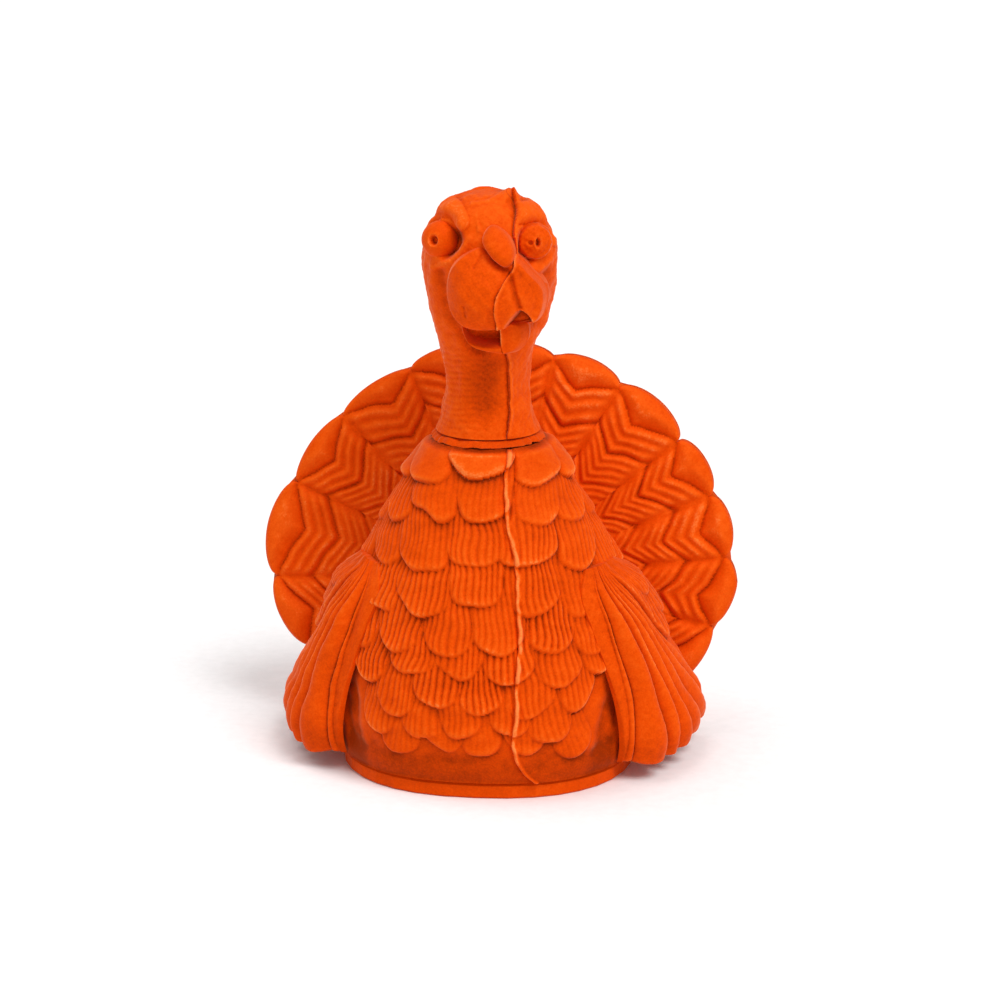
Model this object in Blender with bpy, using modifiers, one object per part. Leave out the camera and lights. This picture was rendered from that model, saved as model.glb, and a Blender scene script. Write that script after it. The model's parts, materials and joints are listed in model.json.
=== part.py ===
"""Turkey decoy: a strutting tom with a fanned tail and a head that turns on its neck.

The bird faces -Y and stands on z = 0, with the origin on the ground under the body.
Dimensions are millimetres; MM turns them into Blender's metres as each mesh is made.
"Right" and "left" are the bird's own: its right side is at -X.
"""

import math

import bmesh
import bpy
from mathutils import Matrix, Vector

MM = 0.001
GAP = 0.3

# Body: height, half width, front and back of each horizontal section.
BODY_SECTIONS = [
    (3.3, 30.0, -31.0, 27.0),
    (8.0, 31.3, -32.3, 29.0),
    (16.0, 31.0, -32.4, 30.0),
    (24.0, 29.8, -31.2, 29.5),
    (32.0, 28.0, -29.0, 27.5),
    (40.0, 25.2, -26.6, 23.5),
    (48.0, 21.5, -24.0, 17.5),
    (56.0, 17.2, -21.0, 11.0),
    (62.0, 13.7, -18.3, 7.6),
    (64.5, 12.1, -17.0, 6.8),
    (66.2, 11.2, -16.2, 6.2),
]
BODY_TOP = BODY_SECTIONS[-1][0]
BODY_SIDES = 36
SHELL_WALL = 3.0
BODY_SEAM_X = 6.5
SQUARENESS = 0.35

# Base plate under the body.
BASE_THICKNESS = 3.0
BASE_HALF_WIDTH = 29.5
BASE_FRONT = -30.5
BASE_BACK = 26.5
BASE_EDGE = 0.4
BASE_POWER = 0.86

# Tail fan: a front skin, a core and a back skin, leaning back together.
FAN_TILT = math.radians(8.0)
FAN_FOOT_Y = 11.0
FAN_CENTRE = 31.3
FAN_SKIN = 1.9
FAN_CORE = 0.9
FAN_NOTCH_RADIUS = 46.7
FAN_NARROWING = 0.19
FAN_LOBE_RISE = 2.6
FAN_NOTCHES = [-33, -11, 7, 23, 39, 59, 77, 96, 114, 135, 156, 181, 201, 219]
FAN_LOBE_STEPS = 6
FAN_FOOT_HALF_WIDTH = 25.0
FAN_CORE_RADIUS = 43.0
FAN_TONGUE_HALF_WIDTH = 14.0
FAN_TONGUE_DEPTH = 2.0
FAN_PIN_RADIUS = 1.6
FAN_PIN_SPREAD = 12.0
FAN_PIN_HEIGHT = 38.0
FAN_DEPTH = 2 * FAN_SKIN + FAN_CORE + 2 * GAP

# Wings: height, greatest thickness, front and rear angle round the body.
WING_SECTIONS = [
    (3.3, 9.8, -30, 20),
    (8.0, 10.2, -32, 20),
    (16.0, 8.0, -34, 19),
    (24.0, 5.8, -38, 18),
    (32.0, 4.0, -42, 14),
    (40.0, 2.4, -42, 2),
    (43.0, 1.2, -36, -8),
]
WING_STEPS = 12
WING_CREST = 0.8
WING_EDGE = 0.1
WING_PEG_RADIUS = 1.5
WING_PEG_Y = -5.0
WING_PEG_HEIGHTS = {"lower": 12.0, "upper": 26.0}
WING_PEG_INSIDE = 4.5
WING_PEG_OUTSIDE = 2.3

# Screws through the base plate: the bosses they bite into, and the ballast.
SCREW_RADIUS = 1.2
SCREW_HEAD_RADIUS = 2.4
SCREW_HEAD_BOTTOM = 0.4
SCREW_HEAD_TOP = 1.9
SCREW_TIP = 11.0
BOSS_RADIUS = 3.6
BOSS_BOTTOM = 4.0
BOSS_TOP = 15.0
SHELL_SCREWS = {
    "front_right": (-22.3, -16.6),
    "front_left": (22.3, -16.6),
    "rear_right": (-25.0, 4.0),
    "rear_left": (25.0, 4.0),
}
RUMP_SCREW = (0.0, 22.0)
BALLAST_CENTRE = (0.0, -10.0)
BALLAST_RADIUS = 13.0
BALLAST_HEIGHT = 12.0

# Dowels that register the two body shells, across the seam at BODY_SEAM_X.
DOWEL_RADIUS = 1.5
DOWEL_HALF_LENGTH = 4.0
SEAM_BOSS_RADIUS = 3.4
SEAM_BOSS_HALF_LENGTH = 5.0
BODY_DOWELS = {
    "lower_front": (-25.3, 24.0),
    "upper_front": (-17.9, 47.0),
    "rear": (5.4, 53.0),
}

# Neck joint: the head turns on a post in the collar ring.
NECK_Y = -5.0
COLLAR_BORE = 8.0
COLLAR_FLANGE_RADIUS = 10.6
COLLAR_FLANGE_TOP = 67.7
COLLAR_SLEEVE_BOTTOM = 59.0
POST_RADIUS = 4.0
POST_CLEARANCE = 0.2
POST_BOTTOM = 58.7
POST_TOP = 83.0
WASHER_RADIUS = 6.4
WASHER_THICKNESS = 1.8
NECK_SCREW_RADIUS = 1.4
NECK_SCREW_HEAD_RADIUS = 3.0
NECK_SCREW_HEAD = 2.0
NECK_SCREW_TOP = 70.0

# Head and neck: height, centre y, half width, half depth of each section.
HEAD_SECTIONS = [
    (68.0, -5.0, 10.3, 10.3),
    (70.0, -5.0, 9.7, 9.8),
    (72.0, -5.2, 8.9, 9.2),
    (76.0, -5.5, 8.2, 8.8),
    (80.0, -5.8, 8.2, 8.8),
    (84.0, -6.2, 8.7, 9.2),
    (88.0, -6.5, 9.8, 10.2),
    (92.0, -6.6, 11.3, 11.2),
    (96.0, -6.6, 12.6, 11.9),
    (100.0, -6.5, 13.2, 12.3),
    (104.0, -6.5, 13.2, 12.4),
    (108.0, -6.4, 12.2, 11.8),
    (111.0, -6.3, 10.4, 10.4),
    (113.4, -6.2, 7.5, 8.0),
    (114.9, -6.1, 4.4, 5.0),
    (115.3, -6.0, 2.0, 2.4),
]
HEAD_SIDES = 28
SKULL_SHIFT_X = 0.6
HEAD_SEAM_X = 5.0
HEAD_DOWEL_RADIUS = 1.0
HEAD_DOWEL_REACH = 1.9
HEAD_DOWELS = {"neck": (-6.5, 87.5), "skull": (-6.0, 103.0)}

# Beak: height, half width and front of each section; both halves share one root plane.
BEAK_ROOT_Y = -13.0
UPPER_BEAK_SECTIONS = [
    (91.0, 3.9, -24.0),
    (94.0, 5.4, -24.9),
    (97.5, 6.4, -24.6),
    (101.0, 6.1, -23.2),
    (104.5, 4.4, -21.2),
    (107.0, 3.0, -19.4),
]
LOWER_BEAK_SECTIONS = [
    (85.8, 1.9, -18.4),
    (88.0, 3.4, -20.8),
    (90.4, 3.9, -22.2),
]
BEAK_STEPS = 12

EYE_RADIUS = 3.1
EYE_SPREAD = 9.2
EYE_Y = -13.2
EYE_Z = 106.6
PUPIL_RADIUS = 1.0
PUPIL_DEPTH = 1.2
SNOOD_CENTRE = (2.5, -19.2, 106.4)
SNOOD_RADII = (2.0, 2.2, 3.3)

ORANGE = (0.74, 0.066, 0.003)
STEEL = (0.52, 0.52, 0.54)
LEAD = (0.25, 0.26, 0.28)
NYLON = (0.80, 0.78, 0.72)


# --- scene, materials and small helpers ---------------------------------------------------

def clear_scene():
    for item in list(bpy.data.objects):
        bpy.data.objects.remove(item, do_unlink=True)


def new_collection(name):
    collection = bpy.data.collections.new(name)
    bpy.context.scene.collection.children.link(collection)
    return collection


def new_material(name, colour, roughness, metallic=0.0):
    material = bpy.data.materials.new(name)
    material.use_nodes = True
    shader = material.node_tree.nodes["Principled BSDF"]
    shader.inputs["Base Color"].default_value = (*colour, 1.0)
    shader.inputs["Roughness"].default_value = roughness
    shader.inputs["Metallic"].default_value = metallic
    return material


def shade_round(mesh, angle=40.0):
    mesh.shade_smooth()
    mesh.set_sharp_from_angle(angle=math.radians(angle))


def lerp_rows(rows, height):
    """Values of a section table at a height, straight between its rows."""
    if height <= rows[0][0]:
        return rows[0][1:]
    for low, high in zip(rows, rows[1:]):
        if height <= high[0]:
            t = (height - low[0]) / (high[0] - low[0])
            return tuple(a + (b - a) * t for a, b in zip(low[1:], high[1:]))
    return rows[-1][1:]


def signed_power(value, power):
    return math.copysign(abs(value) ** power, value)


class Builder:
    """Makes objects in the parts collection, and cutters in their own collection."""

    def __init__(self, parts, cutters, materials):
        self.parts = parts
        self.cutters = cutters
        self.materials = materials

    def part(self, name, bm, material):
        obj = self.mesh_object(name, bm)
        obj.data.materials.append(self.materials[material])
        shade_round(obj.data)
        self.parts.objects.link(obj)
        return obj

    def cutter(self, name, bm):
        obj = self.mesh_object(name, bm)
        obj.hide_render = True
        obj.display_type = "WIRE"
        self.cutters.objects.link(obj)
        return obj

    @staticmethod
    def mesh_object(name, bm):
        mesh = bpy.data.meshes.new(name)
        bm.to_mesh(mesh)
        bm.free()
        return bpy.data.objects.new(name, mesh)

    def turned(self, name, profile, centre, material, steps=32):
        """A profile of (radius, height) turned about a vertical axis; outer side top to bottom."""
        bm = bmesh.new()
        verts = [bm.verts.new((r * MM, 0.0, z * MM)) for r, z in profile]
        for a, b in zip(verts, verts[1:]):
            bm.edges.new((a, b))
        if profile[0][0] > 0.0:
            bm.edges.new((verts[-1], verts[0]))
        obj = self.part(name, bm, material)
        obj.location = (centre[0] * MM, centre[1] * MM, 0.0)
        screw = obj.modifiers.new("turn", "SCREW")
        screw.angle = math.tau
        screw.steps = steps
        screw.render_steps = steps
        screw.use_merge_vertices = True
        screw.merge_threshold = 0.000001
        screw.use_smooth_shade = True
        return obj

    def plate(self, name, outline, thickness, material):
        """A flat outline of (x, y) points, thickened evenly about z = 0 and turned to a mesh."""
        curve = bpy.data.curves.new(name + "_outline", "CURVE")
        curve.dimensions = "2D"
        curve.fill_mode = "BOTH"
        curve.extrude = thickness / 2 * MM
        spline = curve.splines.new("POLY")
        spline.points.add(len(outline) - 1)
        for point, (x, y) in zip(spline.points, outline):
            point.co = (x * MM, y * MM, 0.0, 1.0)
        spline.use_cyclic_u = True
        flat = bpy.data.objects.new(name + "_outline", curve)
        self.parts.objects.link(flat)
        graph = bpy.context.evaluated_depsgraph_get()
        mesh = bpy.data.meshes.new_from_object(flat.evaluated_get(graph))
        bpy.data.objects.remove(flat, do_unlink=True)
        bm = bmesh.new()
        bm.from_mesh(mesh)
        bmesh.ops.remove_doubles(bm, verts=bm.verts, dist=0.00001)
        bmesh.ops.recalc_face_normals(bm, faces=bm.faces)
        return self.part(name, bm, material)


def combine(obj, other, operation):
    modifier = obj.modifiers.new(operation.lower() + "_" + other.name, "BOOLEAN")
    modifier.operation = operation
    modifier.solver = "EXACT"
    modifier.object = other


def add_loft(bm, rings, capped=True):
    """Sides through rings of equal count, closed by flat ends when capped."""
    loops = [[bm.verts.new(Vector(p) * MM) for p in ring] for ring in rings]
    for low, high in zip(loops, loops[1:]):
        for i in range(len(low)):
            j = (i + 1) % len(low)
            bm.faces.new((low[i], low[j], high[j], high[i]))
    if capped:
        bm.faces.new(list(reversed(loops[0])))
        bm.faces.new(loops[-1])


def add_box(bm, low, high, matrix=None):
    size = Vector(high) - Vector(low)
    middle = (Vector(high) + Vector(low)) / 2
    place = Matrix.Translation(middle * MM) @ Matrix.Diagonal((*(size * MM), 1.0))
    if matrix is not None:
        place = matrix @ place
    bmesh.ops.create_cube(bm, size=1.0, matrix=place)


def add_cylinder(bm, radius, start, end, sides=24):
    start = Vector(start)
    end = Vector(end)
    turn = (end - start).to_track_quat("Z", "X").to_matrix().to_4x4()
    place = Matrix.Translation((start + end) / 2 * MM) @ turn
    length = (end - start).length * MM
    bmesh.ops.create_cone(bm, cap_ends=True, segments=sides, radius1=radius * MM,
                          radius2=radius * MM, depth=length, matrix=place)


def add_stepped_drill(bm, centre, steps, sides=16):
    """An upright drill whose radius changes along it: steps of (radius, height) going up."""
    rings = []
    for radius, height in steps:
        angles = [math.tau * i / sides for i in range(sides)]
        rings.append([(centre[0] + radius * math.cos(a), centre[1] + radius * math.sin(a), height)
                      for a in angles])
    add_loft(bm, rings)


def add_ellipsoid(bm, centre, radii, segments=16, rings=10):
    place = Matrix.Translation(Vector(centre) * MM) @ Matrix.Diagonal((*[r * MM for r in radii], 1.0))
    bmesh.ops.create_uvsphere(bm, u_segments=segments, v_segments=rings, radius=1.0, matrix=place)


def cylinder_mesh(radius, start, end, sides=24):
    bm = bmesh.new()
    add_cylinder(bm, radius, start, end, sides)
    return bm


# --- body ---------------------------------------------------------------------------------

def body_point(height, angle, offset=0.0):
    """A point on the body's surface, or offset from it, at an angle from +X."""
    half_width, front, back = lerp_rows(BODY_SECTIONS, height)
    power = 2.0 / (2.0 + SQUARENESS * (1.0 - height / BODY_TOP))
    x = (half_width + offset) * signed_power(math.cos(angle), power)
    y = (back - front) / 2 + offset
    return (x, (front + back) / 2 + y * signed_power(math.sin(angle), power), height)


def body_surface():
    rings = []
    for height, *_ in BODY_SECTIONS:
        rings.append([body_point(height, math.tau * i / BODY_SIDES) for i in range(BODY_SIDES)])
    bm = bmesh.new()
    add_loft(bm, rings, capped=False)
    return bm


def fan_matrix(depth=0.0):
    """Fan plane: local X across, local Y up the fan, local Z to the front."""
    back = Vector((0.0, math.cos(FAN_TILT), -math.sin(FAN_TILT)))
    place = Vector((0.0, FAN_FOOT_Y, 0.0)) + back * depth
    return Matrix.Translation(place * MM) @ Matrix.Rotation(math.pi / 2 - FAN_TILT, 4, "X")


def body_bosses(names):
    bm = bmesh.new()
    for name in names:
        x, y = SHELL_SCREWS[name]
        add_cylinder(bm, BOSS_RADIUS, (x, y, BOSS_BOTTOM), (x, y, BOSS_TOP), 16)
    for y, z in BODY_DOWELS.values():
        start = (BODY_SEAM_X - SEAM_BOSS_HALF_LENGTH, y, z)
        end = (BODY_SEAM_X + SEAM_BOSS_HALF_LENGTH, y, z)
        add_cylinder(bm, SEAM_BOSS_RADIUS, start, end, 16)
    return bm


def add_screw_pilots(bm, places):
    for x, y in places:
        add_cylinder(bm, SCREW_RADIUS + GAP, (x, y, 0.0), (x, y, SCREW_TIP + GAP), 12)


def peg_ends(side, height):
    half_width = abs(body_point(height, 0.0)[0])
    return (
        (side * (half_width - WING_PEG_INSIDE), WING_PEG_Y, height),
        (side * (half_width + WING_PEG_OUTSIDE), WING_PEG_Y, height),
    )


def add_peg_holes(bm, side):
    for height in WING_PEG_HEIGHTS.values():
        inside, outside = peg_ends(side, height)
        stretch = Vector((side * GAP, 0.0, 0.0))
        add_cylinder(bm, WING_PEG_RADIUS + GAP, Vector(inside) - 3 * stretch,
                     Vector(outside) + stretch, 20)


def make_body_shell(build, side):
    """One half of the body: wall, screw bosses and dowel bosses, open to the fan behind it."""
    label = "left" if side > 0 else "right"
    shell = build.part("body_shell_" + label, body_surface(), "orange_rubber")
    wall = shell.modifiers.new("wall", "SOLIDIFY")
    wall.thickness = SHELL_WALL * MM
    wall.offset = -1.0
    wall.use_even_offset = True

    names = [name for name in SHELL_SCREWS if name.endswith(label)]
    bosses = build.cutter("bosses_" + label, body_bosses(names))
    combine(shell, bosses, "UNION")

    far = 60.0
    seam = BODY_SEAM_X + side * GAP / 2
    keep = bmesh.new()
    low_x, high_x = (seam, far) if side > 0 else (-far, seam)
    add_box(keep, (low_x, -far, 1.0), (high_x, far, 90.0))
    combine(shell, build.cutter("half_" + label, keep), "INTERSECT")

    cuts = bmesh.new()
    add_box(cuts, (-far, -20.0, -far), (far, 120.0, GAP), fan_matrix())
    combine(shell, build.cutter("fan_space_" + label, cuts), "DIFFERENCE")

    drills = bmesh.new()
    top = (0.0, NECK_Y, BODY_TOP + 2.0)
    add_cylinder(drills, COLLAR_BORE, (0.0, NECK_Y, COLLAR_SLEEVE_BOTTOM - 2.0), top, 32)
    for y, z in BODY_DOWELS.values():
        reach = DOWEL_HALF_LENGTH + GAP
        add_cylinder(drills, DOWEL_RADIUS + GAP, (BODY_SEAM_X - reach, y, z),
                     (BODY_SEAM_X + reach, y, z), 16)
    add_screw_pilots(drills, [SHELL_SCREWS[name] for name in names])
    add_peg_holes(drills, side)
    combine(shell, build.cutter("drills_" + label, drills), "DIFFERENCE")


def make_rump_cover(build):
    """The stern behind the fan: the same body form with everything forward of it cut away."""
    cover = build.part("rump_cover", body_surface(), "orange_rubber")
    wall = cover.modifiers.new("wall", "SOLIDIFY")
    wall.thickness = SHELL_WALL * MM
    wall.offset = -1.0
    wall.use_even_offset = True

    boss = bmesh.new()
    x, y = RUMP_SCREW
    add_cylinder(boss, BOSS_RADIUS, (x, y, BOSS_BOTTOM), (x, y, BOSS_TOP), 16)
    combine(cover, build.cutter("boss_rump", boss), "UNION")

    far = 70.0
    cuts = bmesh.new()
    add_box(cuts, (-far, -20.0, -FAN_DEPTH - GAP), (far, 120.0, far), fan_matrix())
    combine(cover, build.cutter("fan_space_rump", cuts), "DIFFERENCE")

    drills = bmesh.new()
    add_screw_pilots(drills, [RUMP_SCREW])
    combine(cover, build.cutter("drills_rump", drills), "DIFFERENCE")


def make_base(build):
    rings = []
    half_depth = (BASE_BACK - BASE_FRONT) / 2
    middle = (BASE_BACK + BASE_FRONT) / 2
    for height, inset in ((0.0, BASE_EDGE), (BASE_EDGE, 0.0),
                          (BASE_THICKNESS - BASE_EDGE, 0.0), (BASE_THICKNESS, BASE_EDGE)):
        ring = []
        for i in range(BODY_SIDES):
            angle = math.tau * i / BODY_SIDES
            x = (BASE_HALF_WIDTH - inset) * signed_power(math.cos(angle), BASE_POWER)
            y = (half_depth - inset) * signed_power(math.sin(angle), BASE_POWER)
            ring.append((x, middle + y, height))
        rings.append(ring)
    bm = bmesh.new()
    add_loft(bm, rings)
    base = build.part("base_plate", bm, "orange_rubber")

    cuts = bmesh.new()
    head = SCREW_HEAD_RADIUS + GAP
    shank = SCREW_RADIUS + GAP
    seat = SCREW_HEAD_TOP + GAP
    steps = [(head, -1.0), (head, seat), (shank, seat), (shank, BASE_THICKNESS + 1.0)]
    for centre in [*SHELL_SCREWS.values(), RUMP_SCREW, BALLAST_CENTRE]:
        add_stepped_drill(cuts, centre, steps)
    slot_half = FAN_TONGUE_HALF_WIDTH + GAP
    front = -FAN_SKIN
    back = -FAN_SKIN - FAN_CORE - 2 * GAP
    add_box(cuts, (-slot_half, BASE_THICKNESS - FAN_TONGUE_DEPTH - GAP, back),
            (slot_half, BASE_THICKNESS + 2.0, front), fan_matrix())
    combine(base, build.cutter("base_holes", cuts), "DIFFERENCE")


def make_screw(build, name, centre):
    x, y = centre
    profile = [
        (0.0, SCREW_TIP),
        (SCREW_RADIUS * 0.5, SCREW_TIP),
        (SCREW_RADIUS, SCREW_TIP - 1.2),
        (SCREW_RADIUS, SCREW_HEAD_TOP),
        (SCREW_HEAD_RADIUS, SCREW_HEAD_TOP),
        (SCREW_HEAD_RADIUS, SCREW_HEAD_BOTTOM),
        (0.0, SCREW_HEAD_BOTTOM),
    ]
    build.turned(name, profile, (x, y), "steel", steps=12)


def make_ballast(build):
    bottom = BASE_THICKNESS + GAP
    top = bottom + BALLAST_HEIGHT
    hole = SCREW_RADIUS + GAP
    depth = SCREW_TIP + GAP
    profile = [
        (0.0, top),
        (BALLAST_RADIUS - 1.0, top),
        (BALLAST_RADIUS, top - 1.0),
        (BALLAST_RADIUS, bottom),
        (hole, bottom),
        (hole, depth),
        (0.0, depth),
    ]
    build.turned("ballast_weight", profile, BALLAST_CENTRE, "lead", steps=28)


def make_body_dowels(build):
    for label, (y, z) in BODY_DOWELS.items():
        start = (BODY_SEAM_X - DOWEL_HALF_LENGTH, y, z)
        end = (BODY_SEAM_X + DOWEL_HALF_LENGTH, y, z)
        build.part("body_dowel_" + label, cylinder_mesh(DOWEL_RADIUS, start, end, 16), "nylon")


# --- tail fan -----------------------------------------------------------------------------

def fan_point(degrees, rise):
    """A point on the rim; below the fan's centre the rim draws in."""
    below = max(0.0, -degrees, degrees - 180.0)
    radius = FAN_NOTCH_RADIUS - FAN_NARROWING * below + rise
    angle = math.radians(degrees)
    return (radius * math.cos(angle), FAN_CENTRE + radius * math.sin(angle))


def fan_outline():
    """Round lobes between the notches, down to a straight foot on the base plate."""
    points = []
    for first, last in zip(FAN_NOTCHES, FAN_NOTCHES[1:]):
        for step in range(FAN_LOBE_STEPS):
            t = step / FAN_LOBE_STEPS
            across = 2.0 * t - 1.0
            rise = FAN_LOBE_RISE * math.sqrt(1.0 - across * across)
            points.append(fan_point(first + (last - first) * t, rise))
    points.append(fan_point(FAN_NOTCHES[-1], 0.0))
    foot = fan_foot()
    points.append((-FAN_FOOT_HALF_WIDTH, foot))
    points.append((FAN_FOOT_HALF_WIDTH, foot))
    return points


def fan_foot():
    """Height up the fan plane at which its skins clear the base plate."""
    return (BASE_THICKNESS + GAP + FAN_DEPTH * math.sin(FAN_TILT)) / math.cos(FAN_TILT)


def core_outline():
    """A plain disc with a tongue that drops into the base plate's slot."""
    foot = fan_foot() + 1.5
    shoulder = fan_foot() + 0.3
    low = math.degrees(math.asin((foot - FAN_CENTRE) / FAN_CORE_RADIUS))
    points = []
    steps = 28
    for i in range(steps + 1):
        points.append(fan_point(low + (180.0 - 2.0 * low) * i / steps,
                                FAN_CORE_RADIUS - FAN_NOTCH_RADIUS))
    tip = BASE_THICKNESS - FAN_TONGUE_DEPTH + GAP
    points.append((-FAN_TONGUE_HALF_WIDTH, shoulder))
    points.append((-FAN_TONGUE_HALF_WIDTH, tip))
    points.append((FAN_TONGUE_HALF_WIDTH, tip))
    points.append((FAN_TONGUE_HALF_WIDTH, shoulder))
    return points


def make_fan(build):
    core_depth = FAN_SKIN + GAP + FAN_CORE / 2
    layers = [
        ("fan_front", fan_outline(), FAN_SKIN, FAN_SKIN / 2, "orange_rubber"),
        ("fan_core", core_outline(), FAN_CORE, core_depth, "nylon"),
        ("fan_back", fan_outline(), FAN_SKIN, FAN_DEPTH - FAN_SKIN / 2, "orange_rubber"),
    ]
    pin_back = FAN_DEPTH - FAN_SKIN / 2
    holes = bmesh.new()
    for side in (-1, 1):
        across = side * FAN_PIN_SPREAD
        add_cylinder(holes, FAN_PIN_RADIUS + GAP, (across, FAN_PIN_HEIGHT, 3.0),
                     (across, FAN_PIN_HEIGHT, -pin_back - GAP), 16)
    hole_cutter = build.cutter("fan_pin_holes", holes)
    hole_cutter.matrix_world = fan_matrix()
    for name, outline, thickness, depth, material in layers:
        layer = build.plate(name, outline, thickness, material)
        layer.matrix_world = fan_matrix(depth)
        combine(layer, hole_cutter, "DIFFERENCE")
    for side, label in ((-1, "right"), (1, "left")):
        across = side * FAN_PIN_SPREAD
        pin = cylinder_mesh(FAN_PIN_RADIUS, (across, FAN_PIN_HEIGHT, 1.5),
                            (across, FAN_PIN_HEIGHT, -pin_back), 16)
        obj = build.part("fan_pin_" + label, pin, "nylon")
        obj.matrix_world = fan_matrix()


# --- wings --------------------------------------------------------------------------------

def wing_thickness(t):
    """Share of a section's greatest thickness, from its front edge (0) to its rear edge (1)."""
    if t < WING_CREST:
        rise = t / WING_CREST
        return WING_EDGE + (1.0 - WING_EDGE) * rise ** 1.3
    fall = (t - WING_CREST) / (1.0 - WING_CREST)
    return 1.0 - (1.0 - WING_EDGE) * fall ** 1.6


def wing_ring(side, height, thickness, front, rear):
    outer = []
    inner = []
    for i in range(WING_STEPS + 1):
        t = i / WING_STEPS
        angle = math.radians(front + (rear - front) * t)
        x, y, z = body_point(height, angle, GAP + 0.5 + thickness * wing_thickness(t))
        outer.append((side * x, y, z))
        x, y, z = body_point(height, angle, GAP)
        inner.append((side * x, y, z))
    return outer + inner[::-1]


def make_wing(build, side):
    label = "left" if side > 0 else "right"
    bm = bmesh.new()
    add_loft(bm, [wing_ring(side, *row) for row in WING_SECTIONS])
    bmesh.ops.recalc_face_normals(bm, faces=bm.faces)
    wing = build.part("wing_" + label, bm, "orange_rubber")
    holes = bmesh.new()
    add_peg_holes(holes, side)
    combine(wing, build.cutter("peg_holes_" + label, holes), "DIFFERENCE")
    for level, height in WING_PEG_HEIGHTS.items():
        inside, outside = peg_ends(side, height)
        peg = cylinder_mesh(WING_PEG_RADIUS, inside, outside, 16)
        build.part("wing_peg_" + label + "_" + level, peg, "nylon")


# --- neck joint ---------------------------------------------------------------------------

def make_collar_ring(build):
    """Flanged bush: the flange shows as a thin ring, the sleeve sits in the body's bore."""
    bore = POST_RADIUS + POST_CLEARANCE
    flange_bottom = BODY_TOP + GAP
    sleeve = COLLAR_BORE - GAP
    profile = [
        (bore, COLLAR_FLANGE_TOP),
        (COLLAR_FLANGE_RADIUS - 0.3, COLLAR_FLANGE_TOP),
        (COLLAR_FLANGE_RADIUS, COLLAR_FLANGE_TOP - 0.3),
        (COLLAR_FLANGE_RADIUS, flange_bottom),
        (sleeve, flange_bottom),
        (sleeve, COLLAR_SLEEVE_BOTTOM),
        (bore, COLLAR_SLEEVE_BOTTOM),
    ]
    return build.turned("collar_ring", profile, (0.0, NECK_Y), "orange_rubber", steps=32)


def make_neck_post(build):
    hole = NECK_SCREW_RADIUS + GAP
    depth = NECK_SCREW_TOP + GAP
    profile = [
        (0.0, POST_TOP),
        (POST_RADIUS - 0.6, POST_TOP),
        (POST_RADIUS, POST_TOP - 0.6),
        (POST_RADIUS, POST_BOTTOM),
        (hole, POST_BOTTOM),
        (hole, depth),
        (0.0, depth),
    ]
    return build.turned("neck_post", profile, (0.0, NECK_Y), "nylon", steps=24)


def make_neck_washer(build):
    top = POST_BOTTOM - GAP
    hole = NECK_SCREW_RADIUS + GAP
    profile = [
        (hole, top),
        (WASHER_RADIUS, top),
        (WASHER_RADIUS, top - WASHER_THICKNESS),
        (hole, top - WASHER_THICKNESS),
    ]
    return build.turned("neck_washer", profile, (0.0, NECK_Y), "steel", steps=24)


def make_neck_screw(build):
    shoulder = POST_BOTTOM - WASHER_THICKNESS - 2 * GAP
    profile = [
        (0.0, NECK_SCREW_TOP),
        (NECK_SCREW_RADIUS, NECK_SCREW_TOP),
        (NECK_SCREW_RADIUS, shoulder),
        (NECK_SCREW_HEAD_RADIUS, shoulder),
        (NECK_SCREW_HEAD_RADIUS, shoulder - NECK_SCREW_HEAD),
        (0.0, shoulder - NECK_SCREW_HEAD),
    ]
    return build.turned("neck_screw", profile, (0.0, NECK_Y), "steel", steps=20)


# --- head ---------------------------------------------------------------------------------

def head_form():
    rings = []
    for height, middle, half_width, half_depth in HEAD_SECTIONS:
        lean = SKULL_SHIFT_X * max(0.0, min(1.0, (height - 84.0) / 12.0))
        ring = []
        for i in range(HEAD_SIDES):
            angle = math.tau * i / HEAD_SIDES
            ring.append((lean + half_width * math.cos(angle),
                         middle + half_depth * math.sin(angle), height))
        rings.append(ring)
    bm = bmesh.new()
    add_loft(bm, rings)
    return bm


def beak_rings(sections, grow=0.0):
    """Half-round sections in front of the root plane."""
    rows = [list(row) for row in sections]
    rows[0][0] -= grow
    rows[-1][0] += grow
    rings = []
    for height, half_width, front in rows:
        ring = []
        depth = BEAK_ROOT_Y - front + grow
        for i in range(BEAK_STEPS + 1):
            angle = math.pi * i / BEAK_STEPS
            x = (half_width + grow) * math.cos(angle)
            ring.append((x, BEAK_ROOT_Y + grow - depth * math.sin(angle) ** 0.8, height))
        rings.append(ring)
    return rings


def eye_centre(side):
    return (SKULL_SHIFT_X + side * EYE_SPREAD, EYE_Y, EYE_Z)


def head_pockets():
    """Everything that is set into the head halves, grown by the gap."""
    bm = bmesh.new()
    add_loft(bm, beak_rings(UPPER_BEAK_SECTIONS, GAP))
    bmesh.ops.recalc_face_normals(bm, faces=bm.faces)
    for side in (-1, 1):
        add_ellipsoid(bm, eye_centre(side), [EYE_RADIUS + GAP] * 3)
    return bm


def lower_pockets():
    bm = bmesh.new()
    add_loft(bm, beak_rings(LOWER_BEAK_SECTIONS, GAP))
    bmesh.ops.recalc_face_normals(bm, faces=bm.faces)
    add_cylinder(bm, POST_RADIUS + GAP, (0.0, NECK_Y, 60.0), (0.0, NECK_Y, POST_TOP + GAP), 28)
    for y, z in HEAD_DOWELS.values():
        reach = HEAD_DOWEL_REACH + GAP
        add_cylinder(bm, HEAD_DOWEL_RADIUS + GAP, (HEAD_SEAM_X - reach, y, z),
                     (HEAD_SEAM_X + reach, y, z), 12)
    return bm


def snood_mesh(grow=0.0):
    bm = bmesh.new()
    add_ellipsoid(bm, SNOOD_CENTRE, [r + grow for r in SNOOD_RADII])
    return bm


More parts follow.
